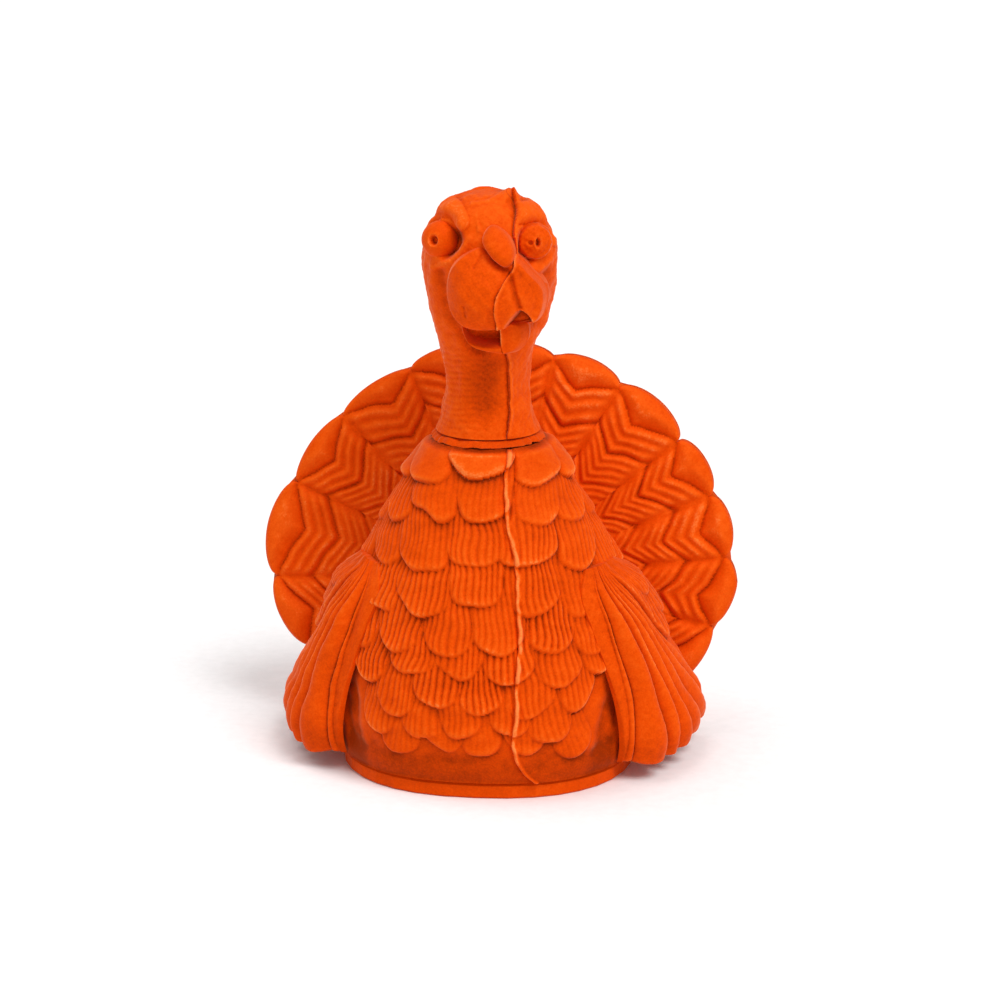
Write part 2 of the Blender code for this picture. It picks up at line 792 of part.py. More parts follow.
def make_head(build):
    pockets = build.cutter("head_pockets", head_pockets())
    lower = build.cutter("neck_pockets", lower_pockets())
    snood_space = build.cutter("snood_space", snood_mesh(GAP))
    pieces = []
    far = 60.0
    for side, label in ((-1, "right"), (1, "left")):
        half = build.part("head_shell_" + label, head_form(), "orange_rubber")
        seam = HEAD_SEAM_X + side * GAP / 2
        low_x, high_x = (seam, far) if side > 0 else (-far, seam)
        keep = bmesh.new()
        add_box(keep, (low_x, -far, 60.0), (high_x, far, 130.0))
        combine(half, build.cutter("head_half_" + label, keep), "INTERSECT")
        combine(half, pockets, "DIFFERENCE")
        combine(half, lower, "DIFFERENCE")
        if side < 0:
            combine(half, snood_space, "DIFFERENCE")
        pieces.append(half)

    upper_bm = bmesh.new()
    add_loft(upper_bm, beak_rings(UPPER_BEAK_SECTIONS))
    bmesh.ops.recalc_face_normals(upper_bm, faces=upper_bm.faces)
    upper = build.part("upper_beak", upper_bm, "orange_rubber")
    combine(upper, snood_space, "DIFFERENCE")
    lower_bm = bmesh.new()
    add_loft(lower_bm, beak_rings(LOWER_BEAK_SECTIONS))
    bmesh.ops.recalc_face_normals(lower_bm, faces=lower_bm.faces)
    pieces += [upper, build.part("lower_beak", lower_bm, "orange_rubber")]
    pieces.append(build.part("snood", snood_mesh(), "orange_rubber"))

    pupils = bmesh.new()
    for side in (-1, 1):
        x, y, z = eye_centre(side)
        front = y - EYE_RADIUS
        add_cylinder(pupils, PUPIL_RADIUS, (x, front - 1.0, z), (x, front + PUPIL_DEPTH, z), 12)
    pupil_cutter = build.cutter("pupils", pupils)
    for side, label in ((-1, "right"), (1, "left")):
        ball = bmesh.new()
        add_ellipsoid(ball, eye_centre(side), [EYE_RADIUS] * 3)
        eye = build.part("eye_" + label, ball, "orange_rubber")
        combine(eye, pupil_cutter, "DIFFERENCE")
        pieces.append(eye)

    for label, (y, z) in HEAD_DOWELS.items():
        start = (HEAD_SEAM_X - HEAD_DOWEL_REACH, y, z)
        end = (HEAD_SEAM_X + HEAD_DOWEL_REACH, y, z)
        dowel = cylinder_mesh(HEAD_DOWEL_RADIUS, start, end, 12)
        pieces.append(build.part("head_dowel_" + label, dowel, "nylon"))
    return pieces


def hang_on_axis(pieces):
    """Parents the turning pieces to an empty on the neck's axis, keeping them in place."""
    axis = bpy.data.objects.new("head_turn_axis", None)
    axis.location = (0.0, NECK_Y * MM, COLLAR_FLANGE_TOP * MM)
    bpy.context.scene.collection.objects.link(axis)
    bpy.context.view_layer.update()
    for piece in pieces:
        piece.parent = axis
        piece.matrix_parent_inverse = axis.matrix_world.inverted()


def main():
    clear_scene()
    materials = {
        "orange_rubber": new_material("orange_rubber", ORANGE, 0.72),
        "steel": new_material("steel", STEEL, 0.35, 1.0),
        "lead": new_material("lead", LEAD, 0.55, 0.8),
        "nylon": new_material("nylon", NYLON, 0.5),
    }
    build = Builder(new_collection("turkey_decoy"), new_collection("cutters"), materials)

    make_base(build)
    make_ballast(build)
    make_screw(build, "ballast_screw", BALLAST_CENTRE)
    for name, centre in SHELL_SCREWS.items():
        make_screw(build, "base_screw_" + name, centre)
    make_screw(build, "rump_screw", RUMP_SCREW)
    for side in (-1, 1):
        make_body_shell(build, side)
        make_wing(build, side)
    make_body_dowels(build)
    make_rump_cover(build)
    make_fan(build)
    make_collar_ring(build)

    turning = [make_neck_post(build), make_neck_washer(build), make_neck_screw(build)]
    turning += make_head(build)
    hang_on_axis(turning)


main()
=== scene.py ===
"""Looks of the strutting turkey decoy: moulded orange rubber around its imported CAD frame.

Lengths are millimetres until a mesh is made. The bird faces -Y, and its right side is at -X.
"""
import json
import math

import bmesh
import bpy
import numpy as np
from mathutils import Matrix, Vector


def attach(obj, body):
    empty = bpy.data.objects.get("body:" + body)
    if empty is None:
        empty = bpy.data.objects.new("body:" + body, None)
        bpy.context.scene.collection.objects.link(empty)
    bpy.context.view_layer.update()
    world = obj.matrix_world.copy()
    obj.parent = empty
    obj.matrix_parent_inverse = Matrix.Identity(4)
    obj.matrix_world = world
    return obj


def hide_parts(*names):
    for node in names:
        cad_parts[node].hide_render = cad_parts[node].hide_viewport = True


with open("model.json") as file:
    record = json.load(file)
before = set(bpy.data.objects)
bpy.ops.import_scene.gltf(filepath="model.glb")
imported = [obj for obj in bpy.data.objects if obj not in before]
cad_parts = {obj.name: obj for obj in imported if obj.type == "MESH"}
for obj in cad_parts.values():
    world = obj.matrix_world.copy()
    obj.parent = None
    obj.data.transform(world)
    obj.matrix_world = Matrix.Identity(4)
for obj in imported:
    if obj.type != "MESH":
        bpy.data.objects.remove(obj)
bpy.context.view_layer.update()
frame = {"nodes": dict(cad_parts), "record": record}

MM = 0.001
GAP = 0.3

# The body's sections, from the base up: height, half width, front, back.
BODY_SECTIONS = [
    (3.3, 30.0, -31.0, 27.0),
    (8.0, 31.3, -32.3, 29.0),
    (16.0, 31.0, -32.4, 30.0),
    (24.0, 29.8, -31.2, 29.5),
    (32.0, 28.0, -29.0, 27.5),
    (40.0, 25.2, -26.6, 23.5),
    (48.0, 21.5, -24.0, 17.5),
    (56.0, 17.2, -21.0, 11.0),
    (62.0, 13.7, -18.3, 7.6),
    (64.5, 12.1, -17.0, 6.8),
    (66.2, 11.2, -16.2, 6.2),
]
BODY_BOTTOM = BODY_SECTIONS[0][0]
BODY_TOP = BODY_SECTIONS[-1][0]
SQUARENESS = 0.35
BACK_SEAM = 6.5
WALL = 2.6
# The skin's relief stands away from this upright line: x, y.
BODY_AXIS = (0.0, -4.0)
# How finely an outline is walked, where on that walk the flat back starts at the latest, and how long
# an outline has to be for the columns beside the seam to have their full width.
OUTLINE_SAMPLES = 900
LAST_CORNER = 760
FULL_SEAM_AT = 40.0

# Where the mould seam runs down the front of the body: height, distance from the middle.
BODY_SEAM = [
    (3.3, 11.6),
    (6.0, 9.4),
    (10.0, 8.0),
    (20.0, 8.0),
    (28.0, 8.2),
    (36.0, 8.0),
    (45.0, 7.1),
    (53.0, 5.4),
    (60.0, 4.4),
    (66.2, 4.9),
]

# The tail fan leans back from the base.
FAN_TILT = math.radians(8.0)
FAN_FOOT_Y = 11.0
FAN_CENTRE = 31.3
FAN_SKIN = 1.9
FAN_CORE = 0.9
FAN_DEPTH = 2 * FAN_SKIN + FAN_CORE + 2 * GAP
FAN_NOTCH_RADIUS = 46.7
FAN_NARROWING = 0.19
# Below level the fan's edge narrows by that much a degree, down to this turn at its foot's corners.
FAN_LOWEST_TURN = 37.0
FAN_FOOT_BLEND = 8.0
# Degrees from +X about the fan's centre, and how far each lobe rises between two of them.
FAN_NOTCHES = [-33, -11, 7, 23, 39, 59, 77, 96, 114, 135, 156, 181, 201, 219]
FAN_RISES = [2.4, 2.6, 2.7, 2.6, 2.8, 2.6, 2.4, 2.4, 1.6, 1.7, 3.2, 2.6, 2.4]
FAN_FOOT_HALF_WIDTH = 25.0
FAN_FOOT = (3.0 + GAP + FAN_DEPTH * math.sin(FAN_TILT)) / math.cos(FAN_TILT)

# The wings: height, greatest thickness, and the angles from the X axis of the front and rear edges.
WING_SECTIONS = [
    (3.6, 10.4, -30.0, 20.0),
    (8.0, 10.6, -32.0, 20.0),
    (16.0, 8.2, -34.0, 19.0),
    (24.0, 5.8, -38.0, 18.0),
    (32.0, 4.0, -42.0, 14.0),
    (40.0, 2.4, -42.0, 2.0),
    (43.0, 1.2, -36.0, -8.0),
]

# The neck turns on this line.
NECK_Y = -5.0
COLLAR_TOP = 67.7

# The head's sections: height, middle, half width, half depth.
HEAD_SECTIONS = [
    (68.0, -5.0, 10.3, 10.3),
    (70.0, -5.0, 9.3, 9.8),
    (72.0, -5.2, 8.8, 9.2),
    (76.0, -5.5, 8.3, 8.8),
    (80.0, -5.8, 8.4, 8.8),
    (84.0, -6.2, 8.9, 9.2),
    (88.0, -6.5, 10.2, 10.2),
    (92.0, -6.6, 11.5, 11.2),
    (96.0, -6.6, 12.5, 11.9),
    (100.0, -6.5, 13.1, 12.3),
    (104.0, -6.5, 12.9, 12.2),
    (108.0, -6.4, 11.6, 11.4),
    (111.0, -6.3, 9.7, 10.0),
    (113.4, -6.2, 7.0, 7.6),
    (114.9, -6.1, 4.0, 4.6),
    (115.7, -6.0, 0.3, 0.4),
]
# The skull sits a little to the bird's left of its neck.
SKULL_SHIFT_X = 0.6
HEAD_AXIS = (0.0, -6.0)
# The head's rows are evenly spaced up to this height, which takes this share of them, then crowd
# together toward the crown.
SHOULDER_HEIGHT = 110.0
SHOULDER_SHARE = 0.84
# The hollow inside follows the sections a little higher up, so the wall stays thick where they narrow.
HEAD_WALL = 3.4
CROWN_WALL = 3.0
TAPER_LEAD = 1.6
HEAD_SEAM_GAP = 0.08
# Where the mould seam runs up the head: height, distance from the middle.
HEAD_SEAM = [
    (68.0, 4.6),
    (72.0, 4.8),
    (79.0, 5.0),
    (84.0, 4.8),
    (88.0, 3.8),
    (92.0, 3.6),
    (97.0, 3.5),
    (100.0, 4.6),
    (103.0, 6.5),
    (106.0, 6.5),
    (109.0, 6.0),
    (112.0, 6.1),
    (114.2, 5.2),
    (115.7, 4.0),
]

EYE_RADIUS = 3.6
EYE_SPACING = 17.8
EYE_Y = -12.9
EYE_HEIGHT = 106.6

# Averaging passes for fine and broad painted shade, and the depth at which a fine groove is painted fully
# dark.
NEAR_PASSES = 8
FAR_PASSES = 90
FULL_NEAR_DEPTH = 0.24


# ---------------------------------------------------------------- numbers and curves

def interpolate(rows, column, at):
    """A smooth curve through one column of a table whose first column rises."""
    table = np.array(rows, float)
    xs = table[:, 0]
    ys = table[:, column]
    slopes = np.gradient(ys, xs)
    at = np.clip(at, xs[0], xs[-1])
    i = np.clip(np.searchsorted(xs, at) - 1, 0, len(xs) - 2)
    step = xs[i + 1] - xs[i]
    t = (at - xs[i]) / step
    ends = (2 * t**3 - 3 * t**2 + 1) * ys[i] + (3 * t**2 - 2 * t**3) * ys[i + 1]
    return ends + (t**3 - 2 * t**2 + t) * step * slopes[i] + (t**3 - t**2) * step * slopes[i + 1]


def signed_power(value, power):
    return np.sign(value) * np.abs(value) ** power


def smooth(value, low=0.0, high=1.0):
    """0 below low, 1 above high, and an even turn between them."""
    t = np.clip((value - low) / (high - low), 0.0, 1.0)
    return t * t * (3 - 2 * t)


def hump(value, width):
    return np.exp(-((value / width) ** 2))


def waves(points, size, seed, count=10):
    """Gentle unevenness about that size, between about -1 and 1."""
    rng = np.random.default_rng(seed)
    points = np.asarray(points, float)
    total = np.zeros(points.shape[:-1])
    for _ in range(count):
        direction = rng.normal(size=points.shape[-1])
        direction *= 2 * math.pi / (size * rng.uniform(0.6, 1.6) * np.linalg.norm(direction))
        total += np.sin(points @ direction + rng.uniform(0, 2 * math.pi))
    return total / math.sqrt(count)


def blur(field, passes, wrap=False):
    """The field averaged over its neighbours, passes times."""
    for _ in range(passes):
        rows = np.pad(field, ((1, 1), (0, 0)), mode="edge")
        field = (rows[:-2] + 2 * rows[1:-1] + rows[2:]) / 4
        columns = np.pad(field, ((0, 0), (1, 1)), mode="wrap" if wrap else "edge")
        field = (columns[:, :-2] + 2 * columns[:, 1:-1] + columns[:, 2:]) / 4
    return field


def painted_shade_and_highlight(relief, wrap=False):
    """Painted shade below 0 in grooves and a painted highlight above 0 on ridges, for the rubber's tone.
    """
    near = (relief - blur(relief, NEAR_PASSES, wrap)) / FULL_NEAR_DEPTH
    far = relief - blur(relief, FAR_PASSES, wrap)
    tone = 0.5 * near + 0.6 * far
    return np.clip(np.where(tone > 0, 0.7 * tone, tone), -1.0, 1.0)


def path_distance(x, z, path):
    """Distance from each point to a line through the path's points."""
    best = np.full(np.shape(x), 1e9)
    for (ax, az), (bx, bz) in zip(path, path[1:]):
        length = (bx - ax) ** 2 + (bz - az) ** 2
        t = np.clip(((x - ax) * (bx - ax) + (z - az) * (bz - az)) / length, 0, 1)
        best = np.minimum(best, np.hypot(x - ax - t * (bx - ax), z - az - t * (bz - az)))
    return best


def rounded(path, closed=False, turns=2):
    """The path with its corners cut, turns times."""
    for _ in range(turns):
        ends = path[1:] + path[:1] if closed else path[1:]
        cut = []
        for (ax, az), (bx, bz) in zip(path, ends):
            cut.append((0.75 * ax + 0.25 * bx, 0.75 * az + 0.25 * bz))
            cut.append((0.25 * ax + 0.75 * bx, 0.25 * az + 0.75 * bz))
        path = cut if closed else [path[0]] + cut[1:-1] + [path[-1]]
    return path


def depth_inside(x, z, outline):
    """Distance to a closed outline, positive inside it."""
    loop = rounded(outline, closed=True)
    loop = loop + loop[:1]
    inside = np.zeros(np.shape(x), bool)
    for (ax, az), (bx, bz) in zip(loop, loop[1:]):
        if az != bz:
            crosses = (az > z) != (bz > z)
            inside ^= crosses & (x < (bx - ax) * (z - az) / (bz - az) + ax)
    distance = path_distance(x, z, loop)
    return np.where(inside, distance, -distance)


def outward_normals(grid, axis):
    """Unit normals of a grid of points, pointing away from the upright line at that x and y."""
    normal = np.cross(np.gradient(grid, axis=1), np.gradient(grid, axis=0))
    normal /= np.maximum(np.linalg.norm(normal, axis=2, keepdims=True), 1e-9)
    away = (grid[..., :2] - np.array(axis)) * normal[..., :2]
    return normal * np.sign(away.sum())


# ---------------------------------------------------------------- meshes

def grid_faces(start, rows, columns, wrap=False):
    faces = []
    for i in range(rows - 1):
        row = start + i * columns
        for j in range(columns if wrap else columns - 1):
            k = (j + 1) % columns
            faces.append((row + j, row + k, row + columns + k, row + columns + j))
    return faces


def strip_faces(fine, coarse):
    """Faces that join a fine border to a coarse one, which has a point for every few of the fine one's."""
    step = (len(fine) - 1) // (len(coarse) - 1)
    faces = []
    for k in range(len(coarse) - 1):
        faces.append(tuple(fine[k * step:(k + 1) * step + 1]) + (coarse[k + 1], coarse[k]))
    return faces


def toned_mesh(name, points, faces, tone):
    """A mesh in metres from points in millimetres, with the rubber's tone, its painted shade and
    highlight, on the first of them.
    """
    mesh = bpy.data.meshes.new(name + "_rubber")
    mesh.from_pydata((np.asarray(points) * MM).tolist(), [], faces)
    values = np.zeros(len(points), np.float32)
    values[:len(tone)] = tone
    # The attribute called relief holds that tone of painted shade and painted highlight.
    mesh.attributes.new("relief", "FLOAT", "POINT").data.foreach_set("value", values)
    return mesh


def new_piece(name, points, faces, tone, body, replaced, smooth_angle=50.0):
    """A closed rubber piece, riding on a body in place of its CAD node."""
    mesh = toned_mesh(name, points, faces, tone)
    bm = bmesh.new()
    bm.from_mesh(mesh)
    bmesh.ops.recalc_face_normals(bm, faces=bm.faces)
    bm.to_mesh(mesh)
    bm.free()
    return finish_piece(name, mesh, body, replaced, smooth_angle)


def finish_piece(name, mesh, body, replaced, smooth_angle=50.0):
    mesh.shade_smooth()
    mesh.set_sharp_from_angle(angle=math.radians(smooth_angle))
    mesh.materials.append(RUBBER)
    piece = bpy.data.objects.new(name + "_rubber", mesh)
    bpy.context.scene.collection.objects.link(piece)
    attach(piece, body)
    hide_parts(replaced)
    return piece


def join_grids(front, back, wrap=False):
    """Two grids' points in one list, the numbers of each one's points, and the faces within each."""
    fine = np.arange(front[..., 0].size).reshape(front.shape[:2])
    coarse = fine.size + np.arange(back[..., 0].size).reshape(back.shape[:2])
    faces = grid_faces(0, *fine.shape, wrap) + grid_faces(fine.size, *coarse.shape, wrap)
    return np.concatenate([front.reshape(-1, 3), back.reshape(-1, 3)]), fine, coarse, faces


def wall_piece(name, outer, inner, tone, body, replaced):
    """A closed shell between a fine outer grid and a coarse inner one."""
    points, fine, coarse, faces = join_grids(outer, inner)
    for side, back in (
        (fine[0], coarse[0]),
        (fine[-1], coarse[-1]),
        (fine[:, 0], coarse[:, 0]),
        (fine[:, -1], coarse[:, -1]),
    ):
        faces += strip_faces(side.tolist(), back.tolist())
    return new_piece(name, points, faces, tone.reshape(-1), body, replaced)


def close_rings(fine, coarse):
    """Faces that close two grids of rings: a cap on each first ring, and a strip between the last ones."""
    rim = fine[-1].tolist()
    back_rim = coarse[-1].tolist()
    caps = [tuple(fine[0].tolist()), tuple(coarse[0].tolist())]
    return caps + strip_faces(rim + rim[:1], back_rim + back_rim[:1])


def disc_piece(name, front, back, tone, body, replaced):
    """A closed piece between two grids of rings: row 0 is the smallest ring, the last row the rim."""
    points, fine, coarse, faces = join_grids(front, back, True)
    faces += close_rings(fine, coarse)
    return new_piece(name, points, faces, tone.reshape(-1), body, replaced)


# ---------------------------------------------------------------- materials

def socket_colour(srgb):
    """A linear colour from one given as 0 to 255."""
    return tuple(((c / 255 + 0.055) / 1.055) ** 2.4 if c > 10 else c / 3294.6 for c in srgb) + (1.0,)


def ramp_node(nodes, stops):
    ramp = nodes.new("ShaderNodeValToRGB")
    elements = ramp.color_ramp.elements
    while len(elements) < len(stops):
        elements.new(0.5)
    for element, (place, colour) in zip(elements, stops):
        element.position = place
        element.color = colour
    return ramp


def noise_node(nodes, scale, detail=3.0, roughness=0.6):
    noise = nodes.new("ShaderNodeTexNoise")
    noise.inputs["Scale"].default_value = scale
    noise.inputs["Detail"].default_value = detail
    noise.inputs["Roughness"].default_value = roughness
    return noise


def math_node(nodes, links, operation, first, second):
    node = nodes.new("ShaderNodeMath")
    node.operation = operation
    for socket, value in zip(node.inputs, (first, second)):
        if isinstance(value, (int, float)):
            socket.default_value = value
        else:
            links.new(value, socket)
    return node.outputs[0]


def new_material(name, roughness, metallic):
    material = bpy.data.materials.new(name)
    material.use_nodes = True
    nodes = material.node_tree.nodes
    shader = nodes["Principled BSDF"]
    shader.inputs["Roughness"].default_value = roughness
    shader.inputs["Metallic"].default_value = metallic
    return material, nodes, material.node_tree.links, shader


def add_bump(nodes, links, shader, height, distance, strength):
    bump = nodes.new("ShaderNodeBump")
    bump.inputs["Distance"].default_value = distance
    bump.inputs["Strength"].default_value = strength
    links.new(height, bump.inputs["Height"])
    links.new(bump.outputs["Normal"], shader.inputs["Normal"])


# The rubber's colours from painted shade at the bottom of a groove to a painted highlight on a ridge.
RUBBER_TONES = [
    (0.0, (148, 44, 0)),
    (0.28, (200, 62, 0)),
    (0.52, (226, 74, 0)),
    (0.76, (240, 92, 14)),
    (1.0, (255, 136, 66)),
]
RUBBER_FINISH = {
    "Specular IOR Level": 0.03,
    "Sheen Weight": 0.70,
    "Sheen Roughness": 0.30,
    "Sheen Tint": socket_colour((255, 170, 125)),
}
GRAIN_DEPTH = 0.12 * MM


def make_rubber():
    """Matte moulded rubber: painted shade in its grooves and a painted highlight on its ridges, with a
    fine grain.
    """
    material, nodes, links, shader = new_material("orange_rubber", 0.62, 0.0)
    place = nodes.new("ShaderNodeTexCoord").outputs["Object"]
    # The relief attribute holds the painted shade and painted highlight that the ramp turns into colour.
    relief = nodes.new("ShaderNodeAttribute")
    relief.attribute_name = "relief"
    broad = noise_node(nodes, 90.0, 3.0)
    speckle = noise_node(nodes, 2600.0, 2.0, 0.7)
    mottle = noise_node(nodes, 700.0, 3.0)
    for noise in (broad, speckle, mottle):
        links.new(place, noise.inputs["Vector"])
    tone = math_node(nodes, links, "MULTIPLY", relief.outputs["Fac"], 0.5)
    tone = math_node(nodes, links, "ADD", tone, 0.5)
    for noise, share in ((broad, 0.18), (speckle, 0.22), (mottle, 0.16)):
        centred = math_node(nodes, links, "SUBTRACT", noise.outputs["Fac"], 0.5)
        scaled = math_node(nodes, links, "MULTIPLY", centred, share * 2)
        tone = math_node(nodes, links, "ADD", tone, scaled)
    ramp = ramp_node(nodes, [(place, socket_colour(colour)) for place, colour in RUBBER_TONES])
    links.new(tone, ramp.inputs["Fac"])
    links.new(ramp.outputs["Color"], shader.inputs["Base Color"])
    rough = math_node(nodes, links, "MULTIPLY", mottle.outputs["Fac"], 0.22)
    rough = math_node(nodes, links, "ADD", rough, 0.5)
    links.new(rough, shader.inputs["Roughness"])
    for socket, value in RUBBER_FINISH.items():
        shader.inputs[socket].default_value = value
    grain = math_node(nodes, links, "ADD", speckle.outputs["Fac"], mottle.outputs["Fac"])
    add_bump(nodes, links, shader, grain, GRAIN_DEPTH, 0.35)
    return material


def make_plain(name, dark, light, roughness, metallic, scale, depth):
    """A hidden part's finish: two close tones of noise, and a fine bump."""
    material, nodes, links, shader = new_material(name, roughness, metallic)
    place = nodes.new("ShaderNodeTexCoord").outputs["Object"]
    noise = noise_node(nodes, scale, 4.0)
    links.new(place, noise.inputs["Vector"])
    ramp = ramp_node(nodes, [(0.3, socket_colour(dark)), (0.7, socket_colour(light))])
    links.new(noise.outputs["Fac"], ramp.inputs["Fac"])
    links.new(ramp.outputs["Color"], shader.inputs["Base Color"])
    add_bump(nodes, links, shader, noise.outputs["Fac"], depth, 0.3)
    return material


# ---------------------------------------------------------------- feathers

# Breast rows from the throat down: height of the middle feather's tip, sideways shift in pitches,
# pitch, how far the tips stand out, and how deep the barbs are.
BREAST_ROWS = [
    (60.2, 0.00, 12.6, 2.30, 0.01),
    (53.0, 0.06, 11.2, 1.60, 0.14),
    (44.7, -0.06, 11.6, 1.60, 0.17),
    (36.8, 0.00, 11.4, 1.50, 0.26),
    (29.6, 0.46, 10.8, 1.40, 0.25),
    (24.0, -0.30, 10.2, 1.25, 0.24),
    (18.4, 0.20, 9.8, 1.15, 0.22),
    (13.4, -0.25, 9.4, 0.90, 0.18),
    (9.4, 0.25, 9.2, 0.40, 0.08),
]
# Rows over the rump in the same form, from the fan down.
RUMP_ROWS = [
    (33.0, 0.0, 10.5, 1.1, 0.16),
    (26.5, 0.5, 10.5, 1.1, 0.18),
    (20.5, 0.0, 10.2, 1.0, 0.17),
    (14.8, 0.5, 10.0, 0.9, 0.15),
    (9.4, 0.0, 9.8, 0.7, 0.12),
]
FEATHER_DROOP = 4.5
FEATHER_LEAN = 24.0
BARB_PITCH = 1.22
# How far the feathers reach round each side: height, distance from the middle.
BREAST_REACH = [
    (3.3, 23.0),
    (12.0, 26.0),
    (24.0, 29.5),
    (34.0, 33.0),
    (40.0, 48.0),
    (46.0, 66.0),
    (66.2, 70.0),
]
# How far the flank beyond the feathers is sunk, how far the seam's proud edge leans over the right half,
# and how far the body's top edge rises toward the collar ring.
FLANK_DEPTH = 0.8
SEAM_LEAN = 0.2
TOP_RAISE = 0.2


def lay_feathers(across, up, rows, limits, seed):
    """Relief of overlapping scalloped feathers, laid from the lowest row upwards."""
    rng = np.random.default_rng(seed)
    relief = 0.12 * waves(np.stack([across, up], -1), 7.0, seed + 1)
    heights = [row[0] for row in rows]
    spacing = [heights[0] - heights[1]] + [a - b for a, b in zip(heights, heights[1:])]
    for (tip_height, shift, pitch, edge, barbs), gap in reversed(list(zip(rows, spacing))):
        count = int(limits[-1][1] // pitch) + 1
        order = sorted(range(-count, count + 1), key=lambda k: (k % 2, abs(k)))
        for k in order:
            centre = (k + shift) * pitch + rng.uniform(-0.8, 0.8)
            tip = tip_height - FEATHER_DROOP * (centre / 45.0) ** 2 + rng.uniform(-1.3, 0.9)
            lean = math.radians(FEATHER_LEAN * centre / 40.0 + rng.uniform(-4, 4))
            half = pitch * rng.uniform(0.50, 0.58)
            round_end = rng.uniform(3.8, 5.4)
            length = gap * rng.uniform(1.7, 1.9) + 2.0
            lift = edge * rng.uniform(0.85, 1.15)
            groove = barbs * rng.uniform(0.5, 1.25)
            phase = rng.uniform(0, 1)
            near = (np.abs(across - centre) < half + 7) & (up > tip - 2) & (up < tip + length + 2)
            if not near.any() or abs(centre) > interpolate(limits, 1, tip + 4.0) - 2.0:
                continue
            dx = across[near] - centre
            dz = up[near] - tip
            side = dx * math.cos(lean) + dz * math.sin(lean)
            rise = dz * math.cos(lean) - dx * math.sin(lean)
            oval = np.hypot(side / half, (round_end - rise) / round_end)
            inside = np.where(rise < round_end, (1 - oval) * half * 0.8, half - np.abs(side))
            share = np.clip(rise / length, 0, 1)
            height = lift * (1 - share) ** 0.8 + 0.5 * (1 - np.clip(side / half, -1, 1) ** 2)
            spread = side / (0.86 + 0.22 * (1 - share))
            wobble = 0.10 * np.sin(rise * 0.9 + phase * 9)
            ribs = 0.5 + 0.5 * np.cos(2 * math.pi * (spread / BARB_PITCH + wobble + phase))
            height -= groove * 1.5 * ribs**2 * smooth(inside, 0.1, 0.9)
            height -= 0.75 * (1 - np.clip(inside / 0.85, 0, 1)) ** 2
            covers = (inside > 0) & (rise < length)
            relief[near] = np.where(covers, np.maximum(height, relief[near]), relief[near])
    return relief


# ---------------------------------------------------------------- body

def body_curve(height, angle, offset=0.0):
    """The body's outline at a height and at angles from +X, grown by offset."""
    half = interpolate(BODY_SECTIONS, 1, height)
    front = interpolate(BODY_SECTIONS, 2, height)
    back = interpolate(BODY_SECTIONS, 3, height)
    power = 2.0 / (2.0 + SQUARENESS * (1.0 - height / BODY_TOP))
    x = (half + offset) * signed_power(np.cos(angle), power)
    y = (front + back) / 2 + ((back - front) / 2 + offset) * signed_power(np.sin(angle), power)
    return x, y


def fan_face(height, depth=0.0):
    """How far back the fan's face is at a height, or a layer that deep behind it."""
    return FAN_FOOT_Y + height * math.tan(FAN_TILT) + depth / math.cos(FAN_TILT)


def seam_wobble(height):
    height = np.asarray(height, float)
    return 0.16 * np.sin(height * 0.45) + 0.07 * np.sin(height * 1.9 + 1.0)


def run_lengths(x, y):
    """The length of a polyline from its start to each of its points."""
    return np.concatenate([[0], np.cumsum(np.hypot(np.diff(x), np.diff(y)))])


def line_columns(x, y, run, places):
    """Points on a polyline with those run lengths, at places along it."""
    return np.interp(places, run, x), np.interp(places, run, y)


def shell_grid(side, heights, seam_share, front_columns, back_columns):
    """Points of a body half, and each one's distance along the surface from the bird's middle."""
    grid = np.zeros((len(heights), front_columns + back_columns + 1, 3))
    across = np.zeros(grid.shape[:2])
    for i, height in enumerate(heights):
        half = interpolate(BODY_SECTIONS, 1, height)
        power = 2.0 / (2.0 + SQUARENESS * (1.0 - height / BODY_TOP))
        seam = interpolate(BODY_SEAM, 1, height) + seam_wobble(height) + 0.07 * side
        start = -math.acos((seam / half) ** (1 / power))
        end = math.acos(((BACK_SEAM + 0.15 * side) / half) ** (1 / power))
        if side < 0:
            end -= 2 * math.pi
        angle = np.linspace(start, end, OUTLINE_SAMPLES)
        x, y = body_curve(height, angle)
        flat = y > fan_face(height) - GAP
        y = np.minimum(y, fan_face(height) - GAP)
        run = run_lengths(x, y)
        corner = run[min(int(np.argmax(flat)) if flat.any() else OUTLINE_SAMPLES - 1, LAST_CORNER)]
        near_seam = seam_share * min(1.0, corner / FULL_SEAM_AT)
        places = np.concatenate([
            near_seam,
            np.linspace(near_seam[-1], corner, front_columns - len(seam_share) + 2)[1:],
            np.linspace(corner, run[-1], back_columns + 1)[1:],
        ])
        grid[i, :, 0], grid[i, :, 1] = line_columns(x, y, run, places)
        grid[i, :, 2] = height
        middle_x, middle_y = body_curve(height, np.linspace(-math.pi / 2, start, 60))
        offset = np.hypot(np.diff(middle_x), np.diff(middle_y)).sum()
        across[i] = offset + side * places
    return grid, across


